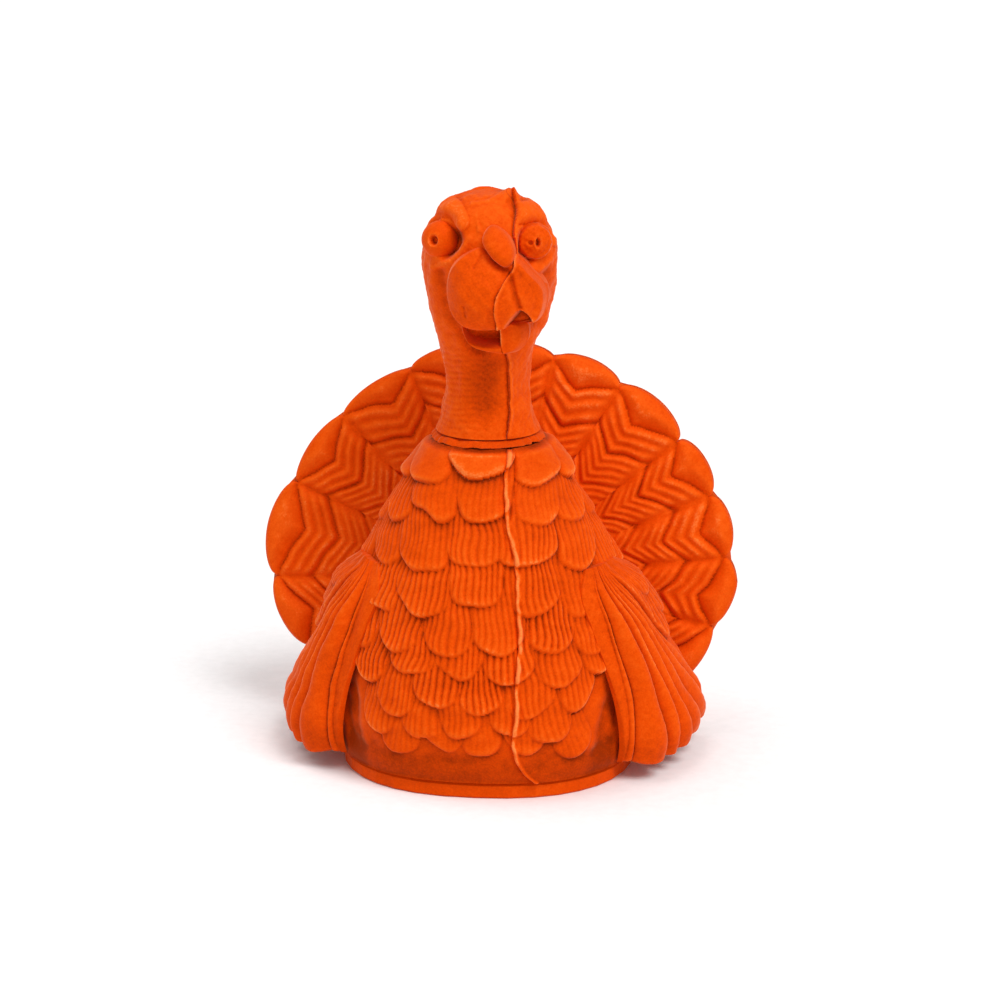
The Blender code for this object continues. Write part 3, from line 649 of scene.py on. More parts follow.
def make_body_half(name, side, front_columns):
    """A body shell up to the mould seam, which stands proud on the left half."""
    rows = 216
    back_columns = 18
    heights = np.linspace(BODY_BOTTOM, BODY_TOP, rows + 1)
    seam_share = np.linspace(0.0, 1.4, 13)
    grid, across = shell_grid(side, heights, seam_share, front_columns, back_columns)
    normal = outward_normals(grid, BODY_AXIS)
    up = np.broadcast_to(heights[:, None], across.shape)
    bent_across = across + 0.35 * waves(grid, 12.0, 31)
    bent_up = up + 0.5 * waves(grid, 10.0, 32)
    relief = lay_feathers(bent_across, bent_up, BREAST_ROWS, BREAST_REACH, 11) - 0.75
    past = np.abs(across) - interpolate(BREAST_REACH, 1, up)
    beyond = smooth(past, -1.5, 2.5) * smooth(past, 8.5, 5.5) * smooth(up, 26.0, 14.0)
    relief -= FLANK_DEPTH * beyond
    relief += 0.10 * waves(grid, 9.0, 5) + 0.04 * waves(grid, 2.2, 6)
    smooth_foot = smooth(up, 8.5, 4.5)
    relief = relief * (1 - 0.85 * smooth_foot) - 0.1 * smooth_foot
    relief *= smooth(BODY_TOP - up, 0.0, 1.5)
    middle = np.arange(grid.shape[1])[None, :] > front_columns
    relief = np.where(middle, -0.2, relief)
    from_seam = np.abs(across - across[:, :1])
    if side > 0:
        proud = 0.55 + 0.2 * np.sin(up * 0.8)
        crest = np.where(from_seam < 0.3, smooth(from_seam, -0.2, 0.25), hump(from_seam - 0.3, 0.35))
        relief += proud * crest + 0.35 * hump(from_seam, 4.0)
    else:
        relief -= 0.25 * hump(from_seam, 0.6)
    relief[0] *= 0.5
    outer = grid + normal * relief[..., None]
    if side > 0:
        outer[..., 0] -= np.where(middle, 0.0, SEAM_LEAN * smooth(from_seam, 0.35, 0.05))
    outer[..., 2] += TOP_RAISE * smooth(up, BODY_TOP - 1.0, BODY_TOP)
    outer[..., 2] = np.clip(outer[..., 2], BODY_BOTTOM - 0.1, BODY_TOP + TOP_RAISE)
    step = 6
    inner = (grid - normal * WALL)[::step, ::step]
    inner[..., 2] = np.clip(inner[..., 2], BODY_BOTTOM, BODY_TOP)
    # Painted shade in the grooves and painted highlight on the ridges; then painted shade darker toward
    # the foot, where the body turns under, and on the sunk flank beyond the feathers.
    tone = painted_shade_and_highlight(relief)
    tone = tone - 0.7 * smooth(up, 12.0, 5.0) - 0.45 * beyond
    # Painted highlight along the proud seam on the left half.
    if side > 0:
        tone = tone + 0.8 * hump(from_seam, 0.5)
    tone = np.where(middle, 0.0, np.clip(tone, -1.0, 1.0))
    return wall_piece(name, outer, inner, tone, "body", name)


def make_rump():
    """The stern behind the fan, closed by a flat wall against it."""
    name = "rump_cover"
    top = 40.6
    rows = 120
    columns = 300
    heights = np.linspace(BODY_BOTTOM, top, rows + 1)
    grid = np.zeros((rows + 1, columns + 1, 3))
    across = np.zeros(grid.shape[:2])
    step = 6
    inner = np.zeros((rows // step + 1, columns // step + 1, 3))
    for i, height in enumerate(heights):
        angle = np.linspace(-0.2, math.pi + 0.2, OUTLINE_SAMPLES)
        x, y = body_curve(height, angle)
        wall = fan_face(height, FAN_DEPTH) + GAP
        keep = y > wall
        x, y = x[keep], y[keep]
        run = run_lengths(x, y)
        places = np.linspace(0, run[-1], columns + 1)
        grid[i, :, 0], grid[i, :, 1] = line_columns(x, y, run, places)
        grid[i, :, 2] = height
        across[i] = places - run[-1] / 2
        if i % step == 0:
            inner[i // step, :, 0] = np.linspace(x[0], x[-1], columns // step + 1) * 0.98
            inner[i // step, :, 1] = wall
            inner[i // step, :, 2] = height
    normal = outward_normals(grid, BODY_AXIS)
    up = np.broadcast_to(heights[:, None], across.shape)
    relief = lay_feathers(across, up, RUMP_ROWS, [(0.0, 50.0), (50.0, 50.0)], 23) - 0.8
    relief = relief * smooth(up, 3.0, 8.0)
    outer = grid + normal * relief[..., None]
    outer[..., 1] = np.maximum(outer[..., 1], fan_face(outer[..., 2], FAN_DEPTH) + GAP)
    outer[..., 2] = np.maximum(outer[..., 2], BODY_BOTTOM)
    # Its tone is painted shade in the feathers' grooves and painted highlight on their ridges.
    return wall_piece(name, outer, inner, painted_shade_and_highlight(relief), "body", name)


# ---------------------------------------------------------------- tail fan

def fan_rim(degrees):
    """The fan's radius at an angle from +X, about its centre, with the lobe's place and depth."""
    notches = np.array(FAN_NOTCHES, float)
    below = np.maximum(0.0, np.maximum(-degrees, degrees - 180.0))
    base = FAN_NOTCH_RADIUS - FAN_NARROWING * below
    lobe = np.clip(np.searchsorted(notches, degrees, side="right") - 1, 0, len(notches) - 2)
    share = (degrees - notches[lobe]) / (notches[lobe + 1] - notches[lobe])
    across = np.clip(2 * share - 1, -1, 1)
    rise = np.array(FAN_RISES)[lobe] * np.sqrt(1 - across**2)
    half_width = base * np.radians(notches[lobe + 1] - notches[lobe]) / 2
    angle = np.radians(degrees)
    foot_side = FAN_FOOT_HALF_WIDTH / np.maximum(np.abs(np.cos(angle)), 1e-6)
    foot_end = (FAN_CENTRE - FAN_FOOT) / np.maximum(-np.sin(angle), 1e-6)
    lobed = (degrees >= notches[0]) & (degrees <= notches[-1])
    corner = np.degrees(math.atan2(FAN_FOOT - FAN_CENTRE, FAN_FOOT_HALF_WIDTH))
    low = FAN_NOTCH_RADIUS - FAN_NARROWING * FAN_LOWEST_TURN
    from_side = np.minimum(degrees - (180 - corner), corner - degrees + 360)
    foot = np.minimum(foot_side, foot_end)
    from_notch = np.minimum(np.abs(degrees - notches[-1]), np.abs(degrees - notches[0] - 360))
    blend = np.clip(from_notch / FAN_FOOT_BLEND, 0, 1)
    foot = np.where(from_side < 0, low * (1 - blend) + foot * blend, foot)
    radius = np.where(lobed, base + rise, foot)
    return radius, np.where(lobed, across, 0.0), np.where(lobed, half_width, 9.0), lobed, lobe


def fan_relief(degrees, radius, rim, across, half_width, lobed, lobe, seed):
    """Feathers of the fan: a smooth domed cap, then nested chevrons in layers."""
    rng = np.random.default_rng(seed)
    lobes = len(FAN_RISES)
    tilt = rng.uniform(-0.22, 0.22, lobes)[lobe]
    slope = rng.uniform(4.2, 5.4, lobes)[lobe]
    period = rng.uniform(2.3, 2.8, lobes)[lobe]
    phase = rng.uniform(-0.1, 0.1, lobes)[lobe]
    chord = FAN_NOTCH_RADIUS - FAN_NARROWING * np.maximum(0, np.maximum(-degrees, degrees - 180))
    inward = chord - radius
    flat = np.stack([radius * np.cos(np.radians(degrees)), radius * np.sin(np.radians(degrees))], -1)
    bent = np.sqrt((across - tilt * (1 - across**2)) ** 2 + 0.004)
    q = inward + slope * bent + 0.16 * waves(flat, 7.0, seed + 1)
    cap_edge = slope + 0.2
    to_border = (1 - np.abs(across)) * half_width * radius / FAN_NOTCH_RADIUS
    to_border = to_border + 0.25 * waves(flat, 6.0, seed + 2)
    second = cap_edge + 3 * period
    third = second + 3.2 * period
    cap = smooth(cap_edge - q, 0.0, 4.0) * (0.75 + 0.45 * (1 - across**2))
    cap = cap * smooth(rim - radius, -1.0, 3.0)
    ridges = 0.5 + 0.5 * np.cos(2 * math.pi * ((q - cap_edge) / period - 0.5 + phase))
    fine = 0.5 + 0.5 * np.cos(2 * math.pi * ((q - second) / (period * 0.8) - 0.5))
    from_border = smooth(to_border, 0.1, 2.2)
    outer_layer = 0.2 + 0.44 * ridges * from_border + 0.35 * from_border
    middle_layer = 0.5 + 0.36 * fine * from_border + 0.3 * from_border
    inner_layer = 0.75 + 0.28 * fine
    relief = np.where(q < cap_edge, 0.1 + cap, outer_layer)
    relief = np.where(q > second, middle_layer, relief)
    relief = np.where(q > third, inner_layer, relief)
    relief -= 0.34 * hump(q - cap_edge, 0.7)
    relief -= 0.50 * hump(q - second + 0.2, 0.9)
    relief -= 0.35 * hump(q - third + 0.2, 0.8)
    relief -= 0.22 * hump(to_border, 0.7) * smooth(q, cap_edge - 1, cap_edge + 2)
    return np.where(lobed, relief, 0.4)


def fan_place(x, up, forward):
    """Row-frame points from the fan's own: across, up the fan, and out of its front face."""
    c = math.cos(FAN_TILT)
    s = math.sin(FAN_TILT)
    return np.stack([x, FAN_FOOT_Y + up * s - forward * c, up * c + forward * s], -1)


def make_fan_skin(name, near, far, facing, seed):
    """A skin between two depths, with its feathers on the side that faces out."""
    columns = 1120
    rows = 122
    step = 8
    inner_rows = 10
    degrees = np.linspace(FAN_NOTCHES[0], FAN_NOTCHES[0] + 360, columns, endpoint=False)
    rim, across, half_width, lobed, lobe = fan_rim(degrees)
    t = np.linspace(0, 1, rows) ** 0.85
    smallest = 10.0
    radius = smallest + (rim[None, :] - smallest) * t[:, None]
    wide = np.broadcast_to
    shape = radius.shape
    relief = fan_relief(
        wide(degrees, shape), radius, wide(rim, shape), wide(across, shape),
        wide(half_width, shape), wide(lobed, shape), wide(lobe, shape), seed,
    )
    angle = np.radians(degrees)
    x = radius * np.cos(angle)
    y = FAN_CENTRE + radius * np.sin(angle)
    flat = np.stack([x, y], -1)
    # Painted shade in the fan's grooves and painted highlights on its ridges, lifted by a fixed amount and
    # capped.
    tone = np.minimum(0.70 * painted_shade_and_highlight(relief, True) + 0.24, 0.5)
    relief = relief + 0.12 * waves(flat, 8.0, seed + 3)
    relief -= 0.8 * (1 - np.clip((rim[None, :] - radius) / 0.9, 0, 1)) ** 2
    outer = fan_place(x, y, facing * (relief - 0.25) - near)
    shrink = np.linspace(0, 1, inner_rows)
    small = smallest + (rim[None, ::step] - smallest) * shrink[:, None]
    inner = fan_place(
        small * np.cos(angle[::step]), FAN_CENTRE + small * np.sin(angle[::step]), -far + 0 * small
    )
    return disc_piece(name, outer, inner, tone, "body", name)


# ---------------------------------------------------------------- wings

# The wing's long feathers: where each one ends at the foot, as a share of the wing's width, and how far
# it stands out. They all spring from one root at the shoulder.
WING_FEATHERS = [
    (0.05, 0.6),
    (0.30, 2.6),
    (0.43, 2.3),
    (0.57, 2.1),
    (0.72, 1.9),
    (0.87, 1.7),
    (1.00, 1.2),
]
# Short feathers over their roots, in rows as on the breast.
WING_COVERTS = [
    (35.0, 0.0, 8.0, 0.9, 0.14),
    (29.0, 0.4, 7.5, 0.8, 0.14),
    (23.5, 0.0, 7.0, 0.7, 0.12),
]
WING_ROOT = 0.22
WING_ROOT_HEIGHT = 41.0
WING_NARROWING = 0.72
WING_FOOT = WING_SECTIONS[0][0]
WING_TOP = WING_SECTIONS[-1][0]
WING_LOWEST = 3.35
# Where across the wing it is thickest.
WING_CREST = 0.8


def wing_thickness(t):
    """Share of the greatest thickness across the wing, from its thin front edge to its rear one."""
    rise = np.clip(t / WING_CREST, 0, 1)
    fall = np.clip((t - WING_CREST) / (1 - WING_CREST), 0, 1)
    return np.where(t < WING_CREST, 0.07 + 0.93 * rise**0.85, 1.0 - 0.9 * fall**1.6)


def make_wing(name, side):
    """A dropped wing: long feathers fanned down from the shoulder, short ones over their roots."""
    rows = 200
    columns = 304
    step = 8
    t = np.linspace(0, 1, columns + 1)[None, :]
    s = np.linspace(0, 1, rows + 1)[:, None]
    foot = WING_FOOT + 0.5 * (1 - smooth(t, 0.0, 0.25)) + 2.2 * smooth(t, 0.35, 1.0)
    height = foot + (WING_TOP - foot) * s
    front = interpolate(WING_SECTIONS, 2, height)
    rear = interpolate(WING_SECTIONS, 3, height)
    angle = np.radians(front + (rear - front) * t)
    thickness = interpolate(WING_SECTIONS, 1, height) * wing_thickness(t)
    thickness = thickness - 1.1 * hump(height - 28, 12.0) * smooth(t, 0.3, 0.6)
    spot = np.stack([t * 40 + 0 * s, height], -1)
    relief = 0.14 * waves(spot, 9.0, 40 + side) + 0.03 * waves(spot, 2.0, 50 + side)
    fade = smooth(height, 44.0, 30.0)
    climb = np.clip((height - 4.0) / (WING_ROOT_HEIGHT - 4.0), 0, 1)
    narrowing = 1 - WING_NARROWING * climb**0.9
    start = WING_ROOT * (1 - narrowing)
    for place, lift in WING_FEATHERS:
        bend = 0.008 * np.sin(height * 0.35 + place * 20)
        end = WING_ROOT + (place - WING_ROOT) * narrowing + bend
        share = np.clip((t - start) / (end - start), 0, 1) ** 1.5
        rib = np.sqrt(np.clip(1 - (2 * share - 1) ** 2, 0, 1))
        relief = relief + lift * (0.15 + 0.85 * fade) * rib
        start = end
    along = t * 30 - 21 + 0 * s
    covered = lay_feathers(along, height, WING_COVERTS, [(0.0, 40.0), (50.0, 40.0)], 61)
    relief = relief + (0.6 + covered) * smooth(t - start, 0.0, 0.03) * smooth(height, 43.0, 36.0)
    relief = relief - 1.2 * (1 - np.clip(s * 30, 0, 1)) ** 2
    base_x, base_y = body_curve(height, angle, GAP + 0.5 + thickness)
    grid = np.stack([side * base_x, base_y, height], -1)
    normal = outward_normals(grid, BODY_AXIS)
    relief = relief * smooth(t, -0.01, 0.02) * smooth(t, 1.0, 0.97)
    outer = grid + normal * relief[..., None]
    outer[..., 2] = np.maximum(outer[..., 2], WING_LOWEST)
    inner_x, inner_y = body_curve(height, angle, GAP)
    inner = np.stack([side * inner_x, inner_y, height], -1)[::step, ::step]
    # Painted shade in the grooves, made stronger, and darker toward the wing's foot; painted highlights on
    # the ridges.
    tone = 1.5 * painted_shade_and_highlight(relief) - 0.3 * smooth(height, 12.0, 4.0)
    tone = np.clip(tone, -1.0, 1.0)
    return wall_piece(name, outer, inner, tone, "body", name)


# ---------------------------------------------------------------- neck ring

def make_collar():
    """A thin ragged flange with a sleeve in the body's bore."""
    name = "collar_ring"
    columns = 240
    bore = 4.2
    sleeve = 7.7
    foot = 59.0
    under = BODY_TOP + GAP
    profile = [
        (bore, COLLAR_TOP), (7.0, COLLAR_TOP), (9.2, COLLAR_TOP - 0.02), (10.3, COLLAR_TOP - 0.08),
        (10.6, COLLAR_TOP - 0.3), (11.0, COLLAR_TOP - 0.7), (11.25, under + 0.1), (11.1, under),
        (sleeve, under), (sleeve, foot + 3.0), (sleeve, foot), (bore, foot),
    ]
    angle = np.linspace(0, 2 * math.pi, columns, endpoint=False)
    ring = np.stack([np.cos(angle), np.sin(angle)], -1)
    ragged = 0.2 * waves(ring * 10, 5.0, 71) + 0.15 * waves(ring * 10, 1.6, 72)
    points = []
    for radius, height in profile:
        r = radius + np.where(radius > 9.0, ragged, 0.0)
        z = height + (0.0 if radius < 10.1 else 0.1) * waves(ring * 10, 4.0, 73)
        points.append(np.stack([r * ring[:, 0], NECK_Y + r * ring[:, 1], z + 0 * r], -1))
    grid = np.array(points)
    faces = grid_faces(0, len(profile), columns, True)
    last = (len(profile) - 1) * columns
    for j in range(columns):
        k = (j + 1) % columns
        faces.append((last + j, last + k, k, j))
    return new_piece(name, grid.reshape(-1, 3), faces, np.full(grid.size // 3, -0.1), "body", name, 40.0)


# ---------------------------------------------------------------- head

# The face's lines and patches as seen from the front: distance to the bird's left, height.
BROW_RIGHT = [(-12.2, 108.4), (-10.8, 110.7), (-8.9, 111.9), (-6.3, 112.4), (-4.5, 111.8), (-3.6, 110.4)]
BROW_LEFT = [(5.6, 111.4), (9.3, 111.6), (11.8, 110.4), (13.3, 108.2), (13.6, 106.4)]
BROW_CREASES = [
    [(-11.4, 109.2), (-8.8, 110.7), (-6.4, 111.0), (-4.6, 110.2)],
    [(6.8, 110.0), (9.4, 110.1), (11.6, 109.0), (12.8, 107.0)],
]
SOCKET_RIGHT = [(-9.0, 104.4), (-7.0, 102.8), (-4.2, 105.0), (-3.0, 107.8), (-4.6, 110.2), (-8.4, 109.6)]
SOCKET_LEFT = [(7.0, 102.8), (9.6, 102.4), (10.8, 104.6), (10.9, 107.6), (9.4, 109.4), (6.8, 109.4)]
LOWER_LID_RIGHT = [(-9.4, 101.3), (-7.0, 102.9), (-4.2, 105.0), (-2.0, 107.6)]
LOWER_LID_LEFT = [(7.2, 103.2), (8.8, 101.8), (10.8, 101.2), (12.2, 102.6)]
CHEEK_FOLD_RIGHT = [(-8.2, 100.6), (-7.6, 96.0), (-6.2, 92.4), (-4.4, 89.2), (-2.6, 86.4), (-0.6, 85.2)]
CHEEK_FOLD_LEFT = [(12.2, 100.0), (12.8, 96.6), (12.0, 93.0), (10.4, 90.0)]
NECK_FOLDS = [
    [(-6.4, 88.0), (-5.6, 82.0), (-6.0, 76.0)],
    [(8.0, 90.0), (7.4, 84.0), (7.8, 76.0)],
]
NECK_TROUGH = [(0.8, 86.0), (0.4, 80.0), (0.2, 75.0)]
FACE_SCRATCHES = [
    [(-2.0, 113.2), (1.2, 113.9), (3.0, 114.9)],
    [(-0.6, 110.4), (-0.2, 109.0)],
]
# The peak of flash on the crown.
CROWN_FLASH = (4.2, 115.0)
# How much lighter in tone the head is than its relief alone makes it.
HEAD_LIGHTER = 0.2


def head_relief(x, z, facing):
    """How far the face stands out of the plain skull, seen from the front."""
    relief = np.zeros_like(x)
    left_half = smooth(x - head_seam(z), -0.3, 0.8)
    for brow, share in ((BROW_RIGHT, 1.0), (BROW_LEFT, left_half)):
        from_brow = path_distance(x, z, rounded(brow))
        roll = np.sqrt(np.clip(1 - (from_brow / 1.6) ** 2, 0, 1))
        relief += share * (0.8 * roll + 0.6 * hump(from_brow, 3.0))
    for crease in BROW_CREASES:
        relief -= 0.5 * hump(path_distance(x, z, rounded(crease)), 0.45)
    for socket in (SOCKET_RIGHT, SOCKET_LEFT):
        relief -= 2.7 * smooth(depth_inside(x, z, socket), -0.7, 1.8)
    for lid in (LOWER_LID_RIGHT, LOWER_LID_LEFT):
        relief += 0.45 * hump(path_distance(x, z, rounded(lid)), 0.7)
    for fold in (CHEEK_FOLD_RIGHT, CHEEK_FOLD_LEFT):
        relief -= 0.8 * hump(path_distance(x, z, rounded(fold)), 1.2)
    for fold in NECK_FOLDS:
        relief -= 0.5 * hump(path_distance(x, z, rounded(fold)), 1.3)
    relief -= 1.7 * hump(path_distance(x, z, NECK_TROUGH), 3.2)
    wrinkles = np.sin(z * 5.2 + 1.5 * np.sin(x * 0.7))
    relief += 0.05 * wrinkles * smooth(x, 2.0, -3.0) * smooth(z, 87.0, 83.0)
    for scratch in FACE_SCRATCHES:
        relief += 0.22 * hump(path_distance(x, z, scratch), 0.3)
    relief += 1.3 * hump(np.hypot(x - CROWN_FLASH[0], z - CROWN_FLASH[1]), 0.9)
    relief += 0.6 * hump(np.hypot((x - 1.5) / 1.3, (z - 111.0) / 1.2), 4.0)
    return relief * facing


def face_shade(x, y, z):
    """Painted shade in the sockets, the cheek folds and the throat, beyond the painted shade that relief
    gives them.
    """
    shade = 0.6 * hump(path_distance(x, z, NECK_TROUGH), 3.8)
    for socket in (SOCKET_RIGHT, SOCKET_LEFT):
        shade = shade + 0.7 * smooth(depth_inside(x, z, socket), -0.9, 1.4)
    for fold in (CHEEK_FOLD_RIGHT, CHEEK_FOLD_LEFT):
        shade = shade + 0.4 * hump(path_distance(x, z, rounded(fold)), 1.5)
    return shade * smooth(-y, 8.0, 12.0)


def head_seam(z):
    return interpolate(HEAD_SEAM, 1, z) + 0.6 * seam_wobble(z)


def head_grids():
    """The head's outer grid, its tone, and its inner grid, both closed round and up to the crown."""
    columns = 416
    rows = 252
    step = 8
    t = np.linspace(-1, 1, columns, endpoint=False)
    angle = -math.pi / 2 + math.pi * t * (0.62 + 0.38 * t * t)
    s = np.linspace(0, 1, rows + 1)
    low = HEAD_SECTIONS[0][0]
    top = HEAD_SECTIONS[-1][0]
    crown_turn = (s - SHOULDER_SHARE) / (1 - SHOULDER_SHARE) * math.pi / 2
    heights = np.where(
        s < SHOULDER_SHARE, low + (SHOULDER_HEIGHT - low) * s / SHOULDER_SHARE,
        SHOULDER_HEIGHT + (top - SHOULDER_HEIGHT) * np.sin(crown_turn),
    )
    z = heights[:, None] + 0 * angle[None, :]
    middle = interpolate(HEAD_SECTIONS, 1, z)
    half = interpolate(HEAD_SECTIONS, 2, z)
    deep = interpolate(HEAD_SECTIONS, 3, z)
    shift = SKULL_SHIFT_X * smooth(z, 84.0, 96.0)
    grid = np.stack([shift + half * np.cos(angle), middle + deep * np.sin(angle), z], -1)
    normal = outward_normals(grid, HEAD_AXIS)
    facing = smooth(-np.sin(angle), -0.15, 0.35)[None, :] * np.ones_like(z)
    crown = smooth(z, 115.6, 114.6)
    relief = head_relief(grid[..., 0], z, facing) * crown
    behind = 1 - facing
    relief += 0.35 * behind * waves(grid, 6.0, 81) + 0.10 * waves(grid, 4.0, 82) * crown
    relief += 0.04 * waves(grid, 1.3, 83) * crown
    from_seam = grid[..., 0] - head_seam(z)
    front = np.sin(angle)[None, :] < 0.1
    proud = 0.42 + 0.14 * np.sin(z * 0.9)
    ridge = np.where(from_seam > 0, proud * hump(from_seam - 0.2, 0.42) + 0.2 * hump(from_seam, 2.5), 0)
    groove = np.where(from_seam <= 0, -0.28 * hump(from_seam, 0.6), 0)
    relief += np.where(front, ridge + groove, 0) * crown
    relief[:4] = relief[4:5] * np.linspace(0.3, 1.0, 4)[:, None]
    outer = grid + normal * relief[..., None]
    outer[..., 2] = np.maximum(outer[..., 2], low)
    turn = angle[None, ::step]
    climb = np.linspace(0, 1, rows // step + 1)[:, None]
    inner_z = low + (top - CROWN_WALL - low) * climb + 0 * turn
    inner_half = np.maximum(interpolate(HEAD_SECTIONS, 2, inner_z + TAPER_LEAD) - HEAD_WALL, 0.4)
    inner_deep = np.maximum(interpolate(HEAD_SECTIONS, 3, inner_z + TAPER_LEAD) - HEAD_WALL, 0.4)
    inner_middle = interpolate(HEAD_SECTIONS, 1, inner_z)
    inner_shift = SKULL_SHIFT_X * smooth(inner_z, 84.0, 96.0)
    inner = np.stack(
        [inner_shift + inner_half * np.cos(turn), inner_middle + inner_deep * np.sin(turn), inner_z], -1
    )
    # The tone is painted shade in the face's hollows and painted highlight on its ridges.
    return outer, inner, painted_shade_and_highlight(relief, True)


def make_head_halves():
    """One hollow head, cut along its wandering seam into two closed halves."""
    outer, inner, tone = head_grids()
    points, fine, coarse, faces = join_grids(outer[::-1], inner[::-1], True)
    faces += close_rings(fine, coarse)
    # The face's painted shade is taken off the head's tone, which is lifted overall, and painted
    # highlights are capped.
    shade = face_shade(points[:fine.size, 0], points[:fine.size, 1], points[:fine.size, 2])
    tone = np.clip(tone[::-1].reshape(-1) + HEAD_LIGHTER - shade, -1.0, 0.4)
    for name, side in (("head_shell_right", -1), ("head_shell_left", 1)):
        warped = points.copy()
        warped[:, 0] -= head_seam(points[:, 2])
        mesh = toned_mesh(name, warped, faces, tone)
        bm = bmesh.new()
        bm.from_mesh(mesh)
        bmesh.ops.recalc_face_normals(bm, faces=bm.faces)
        cut = bmesh.ops.bisect_plane(
            bm, geom=bm.verts[:] + bm.edges[:] + bm.faces[:], dist=1e-7,
            plane_co=(HEAD_SEAM_GAP / 2 * MM * side, 0, 0), plane_no=(-side, 0, 0), clear_outer=True,
        )
        edges = [e for e in cut["geom_cut"] if isinstance(e, bmesh.types.BMEdge)]
        bmesh.ops.triangle_fill(bm, use_beauty=True, edges=edges, normal=(-side, 0, 0))
        bmesh.ops.recalc_face_normals(bm, faces=bm.faces)
        for vertex in bm.verts:
            vertex.co.x += float(head_seam(vertex.co.z / MM)) * MM
        bm.to_mesh(mesh)
        bm.free()
        finish_piece(name, mesh, "head", name, 45.0)


def outline_radii(outline, centre, angles):
    """How far a star-shaped outline reaches from its centre at each angle."""
    path = np.array(rounded(outline, closed=True, turns=3)) - np.array(centre)
    closed = np.concatenate([path, path[:1]])
    fine = np.concatenate([
        np.linspace(a, b, 12, endpoint=False) for a, b in zip(closed, closed[1:])
    ])
    turn = np.unwrap(np.arctan2(fine[:, 1], fine[:, 0]))
    if turn[-1] < turn[0]:
        turn = turn[::-1]
        fine = fine[::-1]
    reach = np.hypot(fine[:, 0], fine[:, 1])
    whole = 2 * math.pi
    turn = turn % whole
    order = np.argsort(turn)
    return np.interp(angles % whole, turn[order], reach[order], period=whole)


def face_piece(name, outline, centre, surface, root_y, rows=110, columns=360):
    """A piece of the face from its outline seen from the front; surface gives its relief, with painted
    shade in it, and its front.
    """
    step = 6
    angles = np.linspace(0, 2 * math.pi, columns, endpoint=False)
    reach = outline_radii(outline, centre, angles)
    t = np.sin(np.linspace(0.02, math.pi / 2, rows))
    x = centre[0] + reach * np.cos(angles) * t[:, None]
    z = centre[1] + reach * np.sin(angles) * t[:, None]
    inside = np.clip(1 - t[:, None] + 0 * x, 0, 1)
    y, relief = surface(x, z, inside)
    front = np.stack([x, y, z], -1)
    s = np.linspace(0.1, 1, 6)[:, None]
    back_x = centre[0] + (reach * np.cos(angles))[::step] * s
    back_z = centre[1] + (reach * np.sin(angles))[::step] * s
    back = np.stack([back_x, root_y + 0 * back_x, back_z], -1)
    # The tone is painted shade in the hollows of the relief and painted highlight on its ridges.
    return disc_piece(name, front, back, painted_shade_and_highlight(relief, True), "head", name)


# Outlines of the face's separate pieces, seen from the front like the lines above.
BEAK_OUTLINE = [
    (0.9, 107.2), (-1.8, 106.0), (-4.0, 104.6), (-5.8, 102.6), (-6.6, 100.3), (-6.9, 98.0), (-6.5, 95.3),
    (-5.4, 93.0), (-3.6, 91.2), (-1.4, 90.4), (1.6, 90.4), (4.0, 90.8), (6.6, 91.2), (9.0, 91.4),
    (11.2, 92.0), (12.4, 94.2), (12.8, 97.4), (12.0, 99.6), (10.1, 101.6), (8.0, 104.1), (5.0, 106.0),
]
BEAK_CENTRE = (2.4, 98.4)
BEAK_ROOT_Y = -12.6
BEAK_CRACK = [(6.0, 101.6), (6.8, 98.6), (7.8, 95.6)]
SNOOD_GROOVE = [(0.6, 106.8), (1.6, 105.6), (3.2, 104.0), (5.2, 102.4)]
# Short scratches on the beak: the line, its depth and its width.
BEAK_NICKS = [
    ([(0.4, 104.8), (-0.8, 103.0)], 0.35, 0.4),
    ([(-2.6, 95.6), (-2.3, 93.8)], 0.3, 0.35),
    ([(2.2, 95.0), (2.4, 93.2)], 0.25, 0.7),
]
BEAK_HOLE = [(6.2, 93.4), (8.1, 95.6), (10.8, 91.6), (7.4, 91.0), (4.6, 91.2)]
# The beak's front, from its lower edge to its root: height, how far forward.
BEAK_PROFILE = [
    (90.0, 20.6),
    (91.5, 22.8),
    (94.0, 24.6),
    (97.5, 25.0),
    (101.0, 23.6),
    (104.5, 21.2),
    (107.5, 18.6),
]


